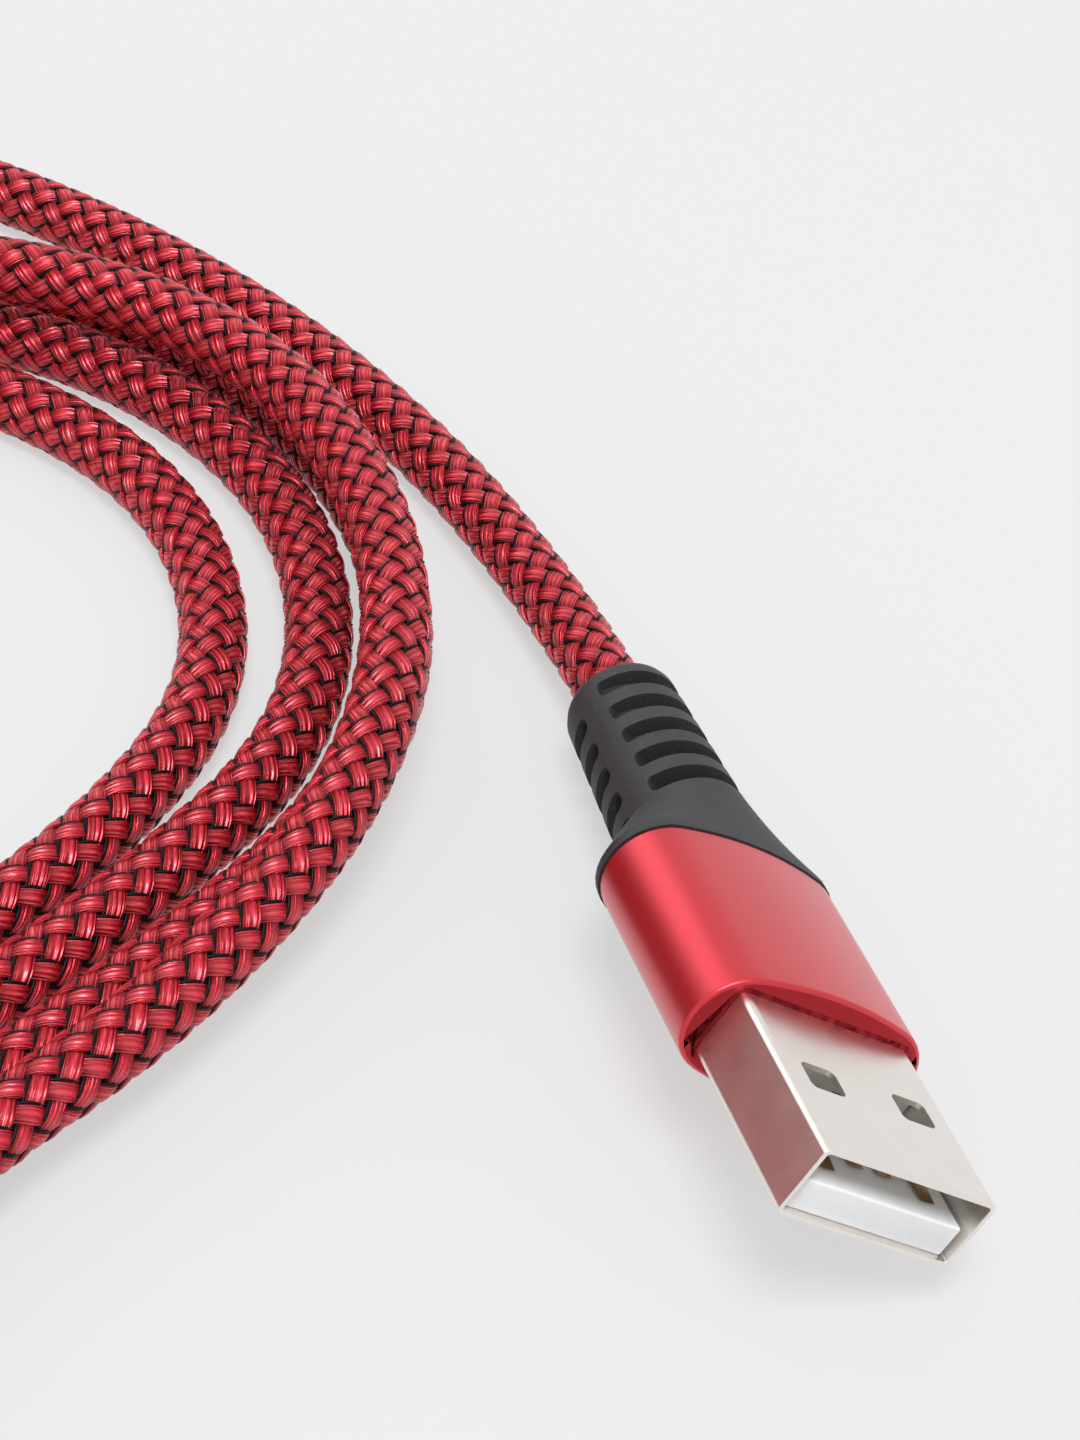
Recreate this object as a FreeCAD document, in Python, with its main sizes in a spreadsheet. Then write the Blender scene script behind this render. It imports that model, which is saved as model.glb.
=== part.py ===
# Charging cable with a USB-A plug, a USB-C plug and a loosely coiled round cord.
# Millimetres. +Z is up from the surface that the cable lies on, the USB-A plug points
# along -Y, and the origin lies on that surface, midway between the two plugs.
# Each plug is drawn along its own Z axis: 0 is the strain relief's cable end, X is the
# plug's width, Y its thickness, and the shell's tip is at the far end.
import FreeCAD, Part
import math
import os

import Sketcher

Vector = FreeCAD.Vector

# Driving dimensions, in millimetres, degrees or counts.
SIZES = (
    ("cord_dia", 4.4),
    ("cord_seat", 0.05),
    ("fit_gap", 0.1),
    ("crimp_wall", 0.4),
    ("crimp_long", 1.6),
    ("wire_dia", 0.9),
    ("wire_pitch", 1.0),
    ("slot_wide", 1.35),
    ("slot_pitch", 2.5),
    ("slot_first", 1.35),
    ("slot_floor_dia", 5.3),
    ("slot_span_top", 128.0),
    ("slot_span_base", 176.0),
    ("collar_dia", 6.95),
    ("waist_dia", 8.0),
    ("edge_round", 0.5),
    ("flange_thick", 0.6),
    ("flange_lip", 0.08),
    ("spigot_long", 1.8),
    ("house_wall", 0.8),
    ("house_face", 1.2),
    ("sheet", 0.3),
    ("a_slots", 5),
    ("a_relief_long", 18.5),
    ("a_waist_at", 12.9),
    ("a_house_long", 13.3),
    ("a_house_wide", 15.6),
    ("a_house_tall", 7.56),
    ("a_house_side", 3.3),
    ("a_shell_out", 12.0),
    ("a_shell_in", 6.5),
    ("a_shell_wide", 12.0),
    ("a_shell_tall", 4.5),
    ("a_shell_round", 0.5),
    ("a_window_wide", 2.4),
    ("a_window_long", 2.0),
    ("a_window_from_tip", 5.2),
    ("a_window_apart", 4.0),
    ("a_tongue_back", 0.4),
    ("a_tongue_long", 8.6),
    ("a_tongue_thick", 1.95),
    ("a_tongue_side", 0.25),
    ("a_root_long", 5.0),
    ("a_contact_wide", 1.0),
    ("a_contact_thick", 0.25),
    ("a_contact_outer", 3.5),
    ("a_contact_inner", 1.0),
    ("a_contact_front", 1.2),
    ("a_contact_step", 1.0),
    ("a_tail_long", 1.6),
    ("a_comb_long", 1.2),
    ("a_comb_back", 1.9),
    ("c_slots", 4),
    ("c_relief_long", 16.0),
    ("c_waist_at", 10.6),
    ("c_house_long", 12.0),
    ("c_house_wide", 12.4),
    ("c_house_tall", 7.8),
    ("c_house_side", 3.0),
    ("c_shell_out", 6.65),
    ("c_shell_in", 3.0),
    ("c_shell_wide", 8.34),
    ("c_shell_tall", 2.56),
    ("c_shell_sheet", 0.2),
    ("c_core_back", 0.3),
    ("c_core_long", 7.8),
    ("c_slot_wall", 0.37),
    ("c_slot_tall", 1.1),
    ("c_slot_deep", 5.0),
    ("c_contact_wide", 0.3),
    ("c_contact_pitch", 0.5),
    ("c_contact_long", 3.6),
    ("c_contact_thick", 0.15),
    ("c_latch_thick", 0.2),
    ("c_latch_long", 3.4),
    ("c_latch_tall", 0.6),
    ("c_pad_wide", 4.0),
    ("c_pad_long", 1.6),
    ("c_pad_thick", 0.15),
    ("c_board_wide", 7.2),
    ("c_board_long", 4.6),
    ("c_board_thick", 0.8),
    ("c_solder_long", 1.4),
    ("c_chip_long", 1.0),
    ("c_chip_wide", 0.5),
    ("c_chip_thick", 0.35),
    ("a_tilt", 5.85),
    ("a_roll", -33.7),
    ("a_end_x", 33.56),
    ("a_end_y", 10.11),
    ("a_end_high", 4.035),
    ("coil_x", -20.34),
    ("coil_y", 31.11),
    ("coil_yaw", -17.05),
)

doc = FreeCAD.newDocument("charging_cable")
sheet = doc.addObject("Spreadsheet::Sheet", "sizes")
for row, (alias, number) in enumerate(SIZES, 1):
    sheet.set("A%d" % row, alias)
    sheet.set("B%d" % row, str(number))
    sheet.setAlias("B%d" % row, alias)
doc.recompute()
NUMBER = dict(SIZES)


class Size:
    """A length held both as the sheet's formula and as its present value."""

    def __init__(self, text, value):
        self.text = text
        self.value = value

    def join(self, other, sign, value):
        return Size("(%s %s %s)" % (self.text, sign, other.text), value)

    def __add__(self, other):
        other = as_size(other)
        return self.join(other, "+", self.value + other.value)

    def __sub__(self, other):
        other = as_size(other)
        return self.join(other, "-", self.value - other.value)

    def __rsub__(self, other):
        return as_size(other) - self

    def __mul__(self, other):
        other = as_size(other)
        return self.join(other, "*", self.value * other.value)

    def __truediv__(self, other):
        other = as_size(other)
        return self.join(other, "/", self.value / other.value)

    def __neg__(self):
        return as_size(-1) * self

    __radd__ = __add__
    __rmul__ = __mul__


def as_size(thing):
    if isinstance(thing, Size):
        return thing
    return Size(repr(float(thing)), float(thing))


def size(alias):
    return Size("sizes." + alias, float(NUMBER[alias]))


ZERO = as_size(0)
PIECES = []


def new_body(label):
    body = doc.addObject("PartDesign::Body", label)
    body.Label = label
    PIECES.append(body)
    return body


def bind(thing, **links):
    for name, length in links.items():
        thing.setExpression(name.replace("_at_", "Placement.Base."), length.text)


def block(body, name, wide, tall, deep, start, x=ZERO, y=ZERO, cut=False):
    """A box centred on x and y that runs from start along Z."""
    kind = "PartDesign::SubtractiveBox" if cut else "PartDesign::AdditiveBox"
    box = body.newObject(kind, name)
    bind(box, Length=wide, Width=tall, Height=deep)
    bind(box, _at_x=x - wide / 2, _at_y=y - tall / 2, _at_z=start)
    return box


def rod(body, name, radius, deep, start, x=ZERO, y=ZERO, cut=False):
    kind = "PartDesign::SubtractiveCylinder" if cut else "PartDesign::AdditiveCylinder"
    cylinder = body.newObject(kind, name)
    bind(cylinder, Radius=radius, Height=deep)
    bind(cylinder, _at_x=x, _at_y=y, _at_z=start)
    return cylinder


def origin_part(body, role):
    for part in body.Origin.OriginFeatures:
        if part.Role == role:
            return part
    raise ValueError(role)


def new_sketch(body, name, plane="XY_Plane", start=ZERO):
    sketch = body.newObject("Sketcher::SketchObject", name)
    sketch.AttachmentSupport = [(origin_part(body, plane), "")]
    sketch.MapMode = "FlatFace"
    sketch.setExpression("AttachmentOffset.Base.z", start.text)
    return sketch


def dimension(sketch, kind, parts, name, length):
    """A named datum constraint tied to the sheet."""
    index = sketch.addConstraint(Sketcher.Constraint(kind, *parts, length.value))
    sketch.renameConstraint(index, name)
    sketch.setExpression("Constraints." + name, length.text)


def arc(sketch, centre, radius, start, end):
    circle = Part.Circle(Vector(centre[0], centre[1], 0), Vector(0, 0, 1), radius)
    return sketch.addGeometry(Part.ArcOfCircle(circle, start, end), False)


def rounded_rectangle(body, name, wide, tall, radius, start):
    sketch = new_sketch(body, name, start=start)
    half_w = wide.value / 2
    half_t = tall.value / 2
    r = radius.value
    corners = (
        ((-half_w + r, half_t), (half_w - r, half_t)),
        ((half_w, half_t - r), (half_w, -half_t + r)),
        ((half_w - r, -half_t), (-half_w + r, -half_t)),
        ((-half_w, -half_t + r), (-half_w, half_t - r)),
    )
    for first, last in corners:
        sketch.addGeometry(Part.LineSegment(Vector(*first, 0), Vector(*last, 0)), False)
    quarter = math.pi / 2
    arc(sketch, (half_w - r, half_t - r), r, 0, quarter)
    arc(sketch, (half_w - r, -half_t + r), r, -quarter, 0)
    arc(sketch, (-half_w + r, -half_t + r), r, 2 * quarter, 3 * quarter)
    arc(sketch, (-half_w + r, half_t - r), r, quarter, 2 * quarter)
    for line, turn in ((0, "Horizontal"), (1, "Vertical"), (2, "Horizontal"), (3, "Vertical")):
        sketch.addConstraint(Sketcher.Constraint(turn, line))
    for line in range(4):
        after = 4 + line
        before = 4 + (line + 3) % 4
        sketch.addConstraint(Sketcher.Constraint("Tangent", line, 2, after, 2))
        sketch.addConstraint(Sketcher.Constraint("Tangent", line, 1, before, 1))
    for other in (5, 6, 7):
        sketch.addConstraint(Sketcher.Constraint("Equal", 4, other))
    dimension(sketch, "Radius", (4,), "corner", radius)
    dimension(sketch, "DistanceX", (-1, 1, 1, 1), "right", wide / 2)
    dimension(sketch, "DistanceX", (3, 1, -1, 1), "left", wide / 2)
    dimension(sketch, "DistanceY", (-1, 1, 0, 1), "top", tall / 2)
    dimension(sketch, "DistanceY", (2, 1, -1, 1), "bottom", tall / 2)
    return sketch


def oval(body, name, wide, tall, side, start):
    """Four tangent arcs: round sides of one radius under a gently crowned top and base."""
    reach = wide / 2 - side
    rise = tall / 2
    crown = (reach * reach + rise * rise - side * side) / (2 * (rise - side))
    drop = crown - rise
    joint_x = reach * crown / (crown - side)
    joint_y = side * drop / (crown - side)
    sketch = new_sketch(body, name, start=start)
    swing = math.atan2(joint_y.value, joint_x.value - reach.value)
    lean = math.atan2(joint_x.value, joint_y.value + drop.value)
    quarter = math.pi / 2
    arc(sketch, (reach.value, 0), side.value, -swing, swing)
    arc(sketch, (0, -drop.value), crown.value, quarter - lean, quarter + lean)
    arc(sketch, (-reach.value, 0), side.value, math.pi - swing, math.pi + swing)
    arc(sketch, (0, drop.value), crown.value, 3 * quarter - lean, 3 * quarter + lean)
    four_arcs(sketch, reach, drop, joint_x, joint_y)
    return sketch


def ring(body, name, diameter, split, start):
    """A circle as four arcs, split where the oval above has its joints."""
    radius = diameter / 2
    joint_x = radius * math.cos(split)
    joint_y = radius * math.sin(split)
    sketch = new_sketch(body, name, start=start)
    quarter = math.pi / 2
    for number in range(4):
        half = split if number % 2 == 0 else quarter - split
        arc(sketch, (0, 0), radius.value, number * quarter - half, number * quarter + half)
    four_arcs(sketch, None, None, joint_x, joint_y)
    return sketch


def four_arcs(sketch, reach, drop, joint_x, joint_y):
    """Ties the right, top, left and bottom arcs of a closed outline."""
    join = Sketcher.Constraint
    if reach is None:
        for number in range(3):
            sketch.addConstraint(join("Coincident", number, 3, -1, 1))
    else:
        for number, axis in ((0, -1), (1, -2), (2, -1)):
            sketch.addConstraint(join("PointOnObject", number, 3, axis))
        dimension(sketch, "DistanceX", (-1, 1, 0, 3), "reach_right", reach)
        dimension(sketch, "DistanceX", (2, 3, -1, 1), "reach_left", reach)
        dimension(sketch, "DistanceY", (1, 3, -1, 1), "drop_top", drop)
        dimension(sketch, "DistanceY", (-1, 1, 3, 3), "drop_base", drop)
    dimension(sketch, "DistanceX", (-1, 1, 0, 2), "joint_x", joint_x)
    dimension(sketch, "DistanceY", (-1, 1, 0, 2), "joint_y", joint_y)
    sketch.addConstraint(join("Vertical", 0, 1, 0, 2))
    sketch.addConstraint(join("Coincident", 0, 2, 1, 1))
    if reach is not None:
        sketch.addConstraint(join("Horizontal", 1, 1, 1, 2))
        sketch.addConstraint(join("Coincident", 1, 2, 2, 1))
        sketch.addConstraint(join("Vertical", 2, 1, 2, 2))
    else:
        sketch.addConstraint(join("Horizontal", 1, 1, 1, 2))
        sketch.addConstraint(join("Coincident", 1, 2, 2, 1))
        sketch.addConstraint(join("Vertical", 2, 1, 2, 2))
    sketch.addConstraint(join("Coincident", 2, 2, 3, 1))
    sketch.addConstraint(join("Coincident", 3, 2, 0, 1))


def pad(body, sketch, deep, name):
    feature = body.newObject("PartDesign::Pad", name)
    feature.Profile = sketch
    bind(feature, Length=deep)
    return feature


def pocket(body, sketch, deep, name):
    feature = body.newObject("PartDesign::Pocket", name)
    feature.Profile = sketch
    feature.Reversed = True
    bind(feature, Length=deep)
    return feature


def groove(body, name, inner, outer, low, deep, span, plane, flip):
    """A slot cut part of the way round the Z axis on one side of it."""
    sketch = new_sketch(body, name + "_sketch", plane=plane)
    near = -outer if flip else inner
    far = -inner if flip else outer
    corners = (
        (near.value, low.value),
        (far.value, low.value),
        (far.value, low.value + deep.value),
        (near.value, low.value + deep.value),
    )
    for number in range(4):
        first = Vector(*corners[number], 0)
        last = Vector(*corners[(number + 1) % 4], 0)
        sketch.addGeometry(Part.LineSegment(first, last), False)
    for number in range(4):
        after = (number + 1) % 4
        sketch.addConstraint(Sketcher.Constraint("Coincident", number, 2, after, 1))
        turn = "Horizontal" if number % 2 == 0 else "Vertical"
        sketch.addConstraint(Sketcher.Constraint(turn, number))
    if flip:
        dimension(sketch, "DistanceX", (0, 1, -1, 1), "outer", outer)
        dimension(sketch, "DistanceX", (0, 2, -1, 1), "inner", inner)
    else:
        dimension(sketch, "DistanceX", (-1, 1, 0, 1), "inner", inner)
        dimension(sketch, "DistanceX", (-1, 1, 0, 2), "outer", outer)
    dimension(sketch, "DistanceY", (-1, 1, 0, 1), "low", low)
    dimension(sketch, "DistanceY", (1, 1, 1, 2), "deep", deep)
    feature = body.newObject("PartDesign::Groove", name)
    feature.Profile = sketch
    feature.ReferenceAxis = (origin_part(body, "Z_Axis"), [""])
    feature.Midplane = True
    bind(feature, Angle=span)
    return feature


def repeat(body, name, originals, count, pitch):
    """Repeats grooves along Z."""
    pattern = body.newObject("PartDesign::LinearPattern", name)
    pattern.Originals = originals
    pattern.Direction = (origin_part(body, "Z_Axis"), [""])
    pattern.Mode = "Spacing"
    pattern.Offset = pitch.value
    pattern.setExpression("Offset", pitch.text)
    pattern.setExpression("Occurrences", count.text)
    body.Tip = pattern
    return pattern


def collar(body, start_dia, end_dia, long, edge):
    """The relief's round part, with its cable end rounded over."""
    sketch = new_sketch(body, "collar_profile", plane="XZ_Plane")
    start = start_dia / 2
    end = end_dia / 2
    points = (
        (0, 0),
        (start.value - edge.value, 0),
        (start.value, edge.value),
        (end.value, long.value),
        (0, long.value),
    )
    order = ((0, 1), (2, 3), (3, 4), (4, 0))
    for first, last in order:
        one = Vector(*points[first], 0)
        two = Vector(*points[last], 0)
        sketch.addGeometry(Part.LineSegment(one, two), False)
    arc(sketch, (points[1][0], points[2][1]), edge.value, -math.pi / 2, 0)
    join = Sketcher.Constraint
    sketch.addConstraint(join("Coincident", 0, 1, -1, 1))
    sketch.addConstraint(join("Horizontal", 0))
    sketch.addConstraint(join("Coincident", 0, 2, 4, 1))
    sketch.addConstraint(join("Coincident", 4, 2, 1, 1))
    sketch.addConstraint(join("Coincident", 1, 2, 2, 1))
    sketch.addConstraint(join("Horizontal", 2))
    sketch.addConstraint(join("Coincident", 2, 2, 3, 1))
    sketch.addConstraint(join("Coincident", 3, 2, 0, 1))
    sketch.addConstraint(join("Vertical", 3))
    dimension(sketch, "DistanceX", (-1, 1, 4, 3), "arc_x", start - edge)
    dimension(sketch, "DistanceY", (-1, 1, 4, 3), "arc_y", edge)
    dimension(sketch, "DistanceY", (-1, 1, 4, 2), "rounded", edge)
    dimension(sketch, "DistanceX", (-1, 1, 0, 2), "flat", start - edge)
    dimension(sketch, "DistanceX", (-1, 1, 1, 2), "end", end)
    dimension(sketch, "DistanceY", (-1, 1, 1, 2), "long", long)
    feature = body.newObject("PartDesign::Revolution", "collar")
    feature.Profile = sketch
    feature.ReferenceAxis = (origin_part(body, "Z_Axis"), [""])
    feature.Angle = 360
    return feature


def loft(body, name, sections):
    feature = body.newObject("PartDesign::AdditiveLoft", name)
    feature.Profile = sections[0]
    feature.Sections = sections[1:]
    feature.Ruled = False
    return feature


def wire(label, start_x, end_x, level, start, end, lead_in, lead_out, radius):
    """An insulated wire with one S-bend in its X-Z plane, square at both ends."""
    body = new_body(label)
    spine = new_sketch(body, "spine", plane="XZ_Plane", start=-level)
    side = end_x - start_x
    reach = end - start - lead_in - lead_out
    bend = (side.value ** 2 + reach.value ** 2) / (4 * abs(side.value))
    turn = 2 * math.atan2(abs(side.value), reach.value)
    way = 1 if side.value > 0 else -1
    low = start.value + lead_in.value
    high = end.value - lead_out.value
    first = (start_x.value + way * bend, low)
    second = (end_x.value - way * bend, high)
    line = Part.LineSegment(Vector(start_x.value, start.value, 0), Vector(start_x.value, low, 0))
    sketch_line = spine.addGeometry(line, False)
    if way > 0:
        one = arc(spine, first, bend, math.pi - turn, math.pi)
        two = arc(spine, second, bend, -turn, 0)
        one_ends = (2, 1)
        two_ends = (1, 2)
    else:
        one = arc(spine, first, bend, 0, turn)
        two = arc(spine, second, bend, math.pi, math.pi + turn)
        one_ends = (1, 2)
        two_ends = (2, 1)
    line = Part.LineSegment(Vector(end_x.value, high, 0), Vector(end_x.value, end.value, 0))
    last = spine.addGeometry(line, False)
    join = Sketcher.Constraint
    spine.addConstraint(join("Vertical", sketch_line))
    spine.addConstraint(join("Tangent", sketch_line, 2, one, one_ends[0]))
    spine.addConstraint(join("Tangent", one, one_ends[1], two, two_ends[0]))
    spine.addConstraint(join("Tangent", two, two_ends[1], last, 1))
    spine.addConstraint(join("Equal", one, two))
    for name, point, length in (("start", (sketch_line, 1), start_x), ("end", (last, 2), end_x)):
        if length.value < 0:
            dimension(spine, "DistanceX", (point[0], point[1], -1, 1), name + "_x", -length)
        else:
            dimension(spine, "DistanceX", (-1, 1, point[0], point[1]), name + "_x", length)
    dimension(spine, "DistanceY", (-1, 1, sketch_line, 1), "start_z", start)
    dimension(spine, "DistanceY", (-1, 1, last, 2), "end_z", end)
    dimension(spine, "DistanceY", (sketch_line, 1, sketch_line, 2), "lead_in", lead_in)
    dimension(spine, "DistanceY", (last, 1, last, 2), "lead_out", lead_out)
    profile = new_sketch(body, "section", start=start)
    centre = Vector(start_x.value, level.value, 0)
    profile.addGeometry(Part.Circle(centre, Vector(0, 0, 1), radius.value), False)
    dimension(profile, "Radius", (0,), "wire", radius)
    if start_x.value < 0:
        dimension(profile, "DistanceX", (0, 3, -1, 1), "x", -start_x)
    else:
        dimension(profile, "DistanceX", (-1, 1, 0, 3), "x", start_x)
    dimension(profile, "DistanceY", (-1, 1, 0, 3), "y", level)
    pipe = body.newObject("PartDesign::AdditivePipe", "insulation")
    pipe.Profile = profile
    pipe.Spine = (spine, [])
    return body


def strain_relief(label, key, spigot_wide, spigot_tall):
    """The ribbed boot: round at the cable, oval where it meets the housing."""
    long = size(key + "_relief_long")
    waist_at = size(key + "_waist_at")
    wide = size(key + "_house_wide")
    tall = size(key + "_house_tall")
    side = size(key + "_house_side")
    lip = size("flange_lip")
    thick = size("flange_thick")
    shoulder = long - thick
    body = new_body(label)
    collar(body, size("collar_dia"), size("waist_dia"), waist_at, size("edge_round"))
    middle = waist_at + (shoulder - waist_at) * 0.6
    split = 0.42
    round_end = ring(body, "waist_ring", size("waist_dia"), split, waist_at)
    half_way = oval(body, "half_oval", wide - (wide - size("waist_dia")) * 0.38,
                    tall, side + lip, middle)
    full = oval(body, "full_oval", wide + lip * 2, tall + lip * 2, side + lip, shoulder)
    loft(body, "flare", [round_end, half_way, full])
    rim = oval(body, "rim_oval", wide + lip * 2, tall + lip * 2, side + lip, shoulder)
    pad(body, rim, thick, "rim")
    spigot = oval(body, "spigot_oval", spigot_wide, spigot_tall, spigot_side(key), long)
    pad(body, spigot, size("spigot_long"), "spigot")
    inner = size("slot_floor_dia") / 2
    outer = size("waist_dia")
    first = size("slot_first")
    wide_slot = size("slot_wide")
    span_top = size("slot_span_top")
    span_base = size("slot_span_base")
    later = first + size("slot_pitch") / 2
    top = groove(body, "top_slot", inner, outer, first, wide_slot, span_top, "YZ_Plane", False)
    base = groove(body, "base_slot", inner, outer, later, wide_slot, span_base, "YZ_Plane", True)
    repeat(body, "top_slots", [top], size(key + "_slots"), size("slot_pitch"))
    repeat(body, "base_slots", [base], size(key + "_slots"), size("slot_pitch"))
    bore = size("cord_dia") / 2 + size("cord_seat")
    whole = long + size("spigot_long")
    rod(body, "cable_bore", bore, whole, ZERO, cut=True)
    seat = bore + size("crimp_wall") + size("cord_seat")
    rod(body, "crimp_seat", seat, size("crimp_long"), whole - size("crimp_long"), cut=True)
    return body


def spigot_side(key):
    return size(key + "_house_side") - size("house_wall") - size("fit_gap") / 2


def crimp(label, key):
    body = new_body(label)
    bore = size("cord_dia") / 2 + size("cord_seat")
    whole = size(key + "_relief_long") + size("spigot_long")
    start = whole - size("crimp_long")
    rod(body, "band", bore + size("crimp_wall"), size("crimp_long"), start)
    rod(body, "band_bore", bore, size("crimp_long"), start, cut=True)
    return body


def cable_end(label, key):
    """The cable's own end inside the relief, up to the front of the crimp ring."""
    body = new_body(label)
    whole = size(key + "_relief_long") + size("spigot_long")
    rod(body, "jacket", size("cord_dia") / 2, whole, ZERO)
    return body


def housing(label, key, mouth_wide, mouth_tall, mouth_round, shell_in):
    """A moulded sleeve, open at the relief and with a flat face round the shell."""
    start = size(key + "_relief_long")
    long = size(key + "_house_long")
    wide = size(key + "_house_wide")
    tall = size(key + "_house_tall")
    side = size(key + "_house_side")
    wall = size("house_wall")
    body = new_body(label)
    pad(body, oval(body, "outside", wide, tall, side, start), long, "sleeve")
    inside = oval(body, "inside", wide - wall * 2, tall - wall * 2, side - wall, start)
    pocket(body, inside, long - size("house_face"), "hollow")
    mouth = rounded_rectangle(body, "mouth", mouth_wide, mouth_tall, mouth_round,
                              start + long - shell_in)
    pocket(body, mouth, shell_in, "opening")
    return body


def hollow_size(key):
    gap = size("fit_gap")
    wide = size(key + "_house_wide") - size("house_wall") * 2 - gap
    tall = size(key + "_house_tall") - size("house_wall") * 2 - gap
    return wide, tall


# USB-A plug, built along its own axis.
a_front = size("a_relief_long") + size("a_house_long")
a_tip = a_front + size("a_shell_out")
a_shell_back = a_front - size("a_shell_in")
a_mould_start = size("a_relief_long") + size("spigot_long")
a_mould_end = a_front - size("house_face")
inner_wide, inner_tall = hollow_size("a")
gap = size("fit_gap")
bodies_a = []
bodies_a.append(strain_relief("usb_a_strain_relief", "a", inner_wide, inner_tall))
bodies_a.append(crimp("usb_a_crimp_ring", "a"))
bodies_a.append(cable_end("usb_a_cable_end", "a"))

shell_hole_wide = size("a_shell_wide") + gap
shell_hole_tall = size("a_shell_tall") + gap
shell_hole_round = size("a_shell_round") + gap / 2
bodies_a.append(housing("usb_a_housing", "a", shell_hole_wide, shell_hole_tall,
                        shell_hole_round, size("a_shell_in")))

mould = new_body("usb_a_inner_mould")
sketch = oval(mould, "outside", inner_wide, inner_tall, spigot_side("a"), a_mould_start)
pad(mould, sketch, a_mould_end - a_mould_start, "block_of_plastic")
shell_in_wide = size("a_shell_wide") - size("sheet") * 2
shell_in_tall = size("a_shell_tall") - size("sheet") * 2
contact_base = size("a_tongue_thick") - shell_in_tall / 2
wire_level = contact_base + size("a_contact_thick") + size("wire_dia") / 2
room_wide = size("a_contact_outer") * 2 + size("wire_dia") + gap * 2
room_tall = (wire_level + size("wire_dia") / 2 + gap) * 2
block(mould, "wire_room", room_wide, room_tall, a_shell_back - a_mould_start,
      a_mould_start, cut=True)
sketch = rounded_rectangle(mould, "shell_seat", shell_hole_wide, shell_hole_tall,
                           shell_hole_round, a_shell_back)
pocket(mould, sketch, a_mould_end - a_shell_back, "shell_pocket")
bodies_a.append(mould)

shell = new_body("usb_a_shell")
shell_long = a_tip - a_shell_back
pad(shell, rounded_rectangle(shell, "outside", size("a_shell_wide"), size("a_shell_tall"),
                             size("a_shell_round"), a_shell_back), shell_long, "tube")
sketch = rounded_rectangle(shell, "inside", shell_in_wide, shell_in_tall,
                           size("a_shell_round") - size("sheet"), a_shell_back)
pocket(shell, sketch, shell_long, "mouth")
window_start = a_tip - size("a_window_from_tip") - size("a_window_long")
window_x = (size("a_window_apart") + size("a_window_wide")) / 2
window_y = (size("a_shell_tall") - size("sheet")) / 2
for name, across, up in (("window_1", 1, 1), ("window_2", -1, 1),
                         ("window_3", 1, -1), ("window_4", -1, -1)):
    block(shell, name, size("a_window_wide"), size("sheet") * 2, size("a_window_long"),
          window_start, x=window_x * across, y=window_y * up, cut=True)
bodies_a.append(shell)

tongue = new_body("usb_a_tongue")
tongue_end = a_tip - size("a_tongue_back")
tongue_start = tongue_end - size("a_tongue_long")
root_start = tongue_start - size("a_root_long")
tongue_wide = shell_in_wide - size("a_tongue_side") * 2
tongue_y = size("a_tongue_thick") / 2 - shell_in_tall / 2
block(tongue, "blade", tongue_wide, size("a_tongue_thick"), size("a_tongue_long"),
      tongue_start, y=tongue_y)
sketch = rounded_rectangle(tongue, "root_outline", shell_in_wide - gap, shell_in_tall,
                           size("a_shell_round"), root_start)
pad(tongue, sketch, size("a_root_long"), "root")
contact_y = contact_base + size("a_contact_thick") / 2
CONTACTS = (
    ("vbus", size("a_contact_outer"), size("wire_pitch") * 1.5, size("a_contact_front")),
    ("dminus", size("a_contact_inner"), size("wire_pitch") * 0.5,
     size("a_contact_front") + size("a_contact_step")),
    ("dplus", -size("a_contact_inner"), size("wire_pitch") * -0.5,
     size("a_contact_front") + size("a_contact_step")),
    ("gnd", -size("a_contact_outer"), size("wire_pitch") * -1.5, size("a_contact_front")),
)
for name, x, _, _ in CONTACTS:
    block(tongue, "slit_" + name, size("a_contact_wide") + gap, size("a_contact_thick") + gap / 2,
          size("a_root_long"), root_start, x=x, y=contact_y + gap / 4, cut=True)
bodies_a.append(tongue)

wire_end = root_start - gap
for name, x, _, front in CONTACTS:
    contact = new_body("usb_a_contact_" + name)
    tail_start = root_start - size("a_tail_long")
    block(contact, "strip", size("a_contact_wide"), size("a_contact_thick"),
          tongue_end - front - tail_start, tail_start, x=x, y=contact_y)
    bodies_a.append(contact)

comb_long = size("a_comb_long")
comb_start = wire_end - size("a_comb_back") - comb_long
comb = new_body("usb_a_wire_comb")
sketch = rounded_rectangle(comb, "outline", shell_in_wide - gap, shell_in_tall - gap,
                           size("a_shell_round"), comb_start)
pad(comb, sketch, comb_long, "bar")
for name, x, _, _ in CONTACTS:
    rod(comb, "hole_" + name, size("wire_dia") / 2 + gap / 2, comb_long, comb_start,
        x=x, y=wire_level, cut=True)
bodies_a.append(comb)

for name, x, start_x, _ in CONTACTS:
    lead_out = wire_end - comb_start + gap
    bodies_a.append(wire("usb_a_wire_" + name, start_x, x, wire_level, a_mould_start, wire_end,
                         gap * 3, lead_out, size("wire_dia") / 2))

# USB-C plug, built along its own axis.
c_front = size("c_relief_long") + size("c_house_long")
c_tip = c_front + size("c_shell_out")
c_shell_back = c_front - size("c_shell_in")
c_mould_start = size("c_relief_long") + size("spigot_long")
c_mould_end = c_front - size("house_face")
c_inner_wide, c_inner_tall = hollow_size("c")
bodies_c = []
bodies_c.append(strain_relief("usb_c_strain_relief", "c", c_inner_wide, c_inner_tall))
bodies_c.append(crimp("usb_c_crimp_ring", "c"))
bodies_c.append(cable_end("usb_c_cable_end", "c"))
c_hole_wide = size("c_shell_wide") + gap
c_hole_tall = size("c_shell_tall") + gap
c_hole_round = c_hole_tall / 2 - gap / 4
bodies_c.append(housing("usb_c_housing", "c", c_hole_wide, c_hole_tall, c_hole_round,
                        size("c_shell_in")))

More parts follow.
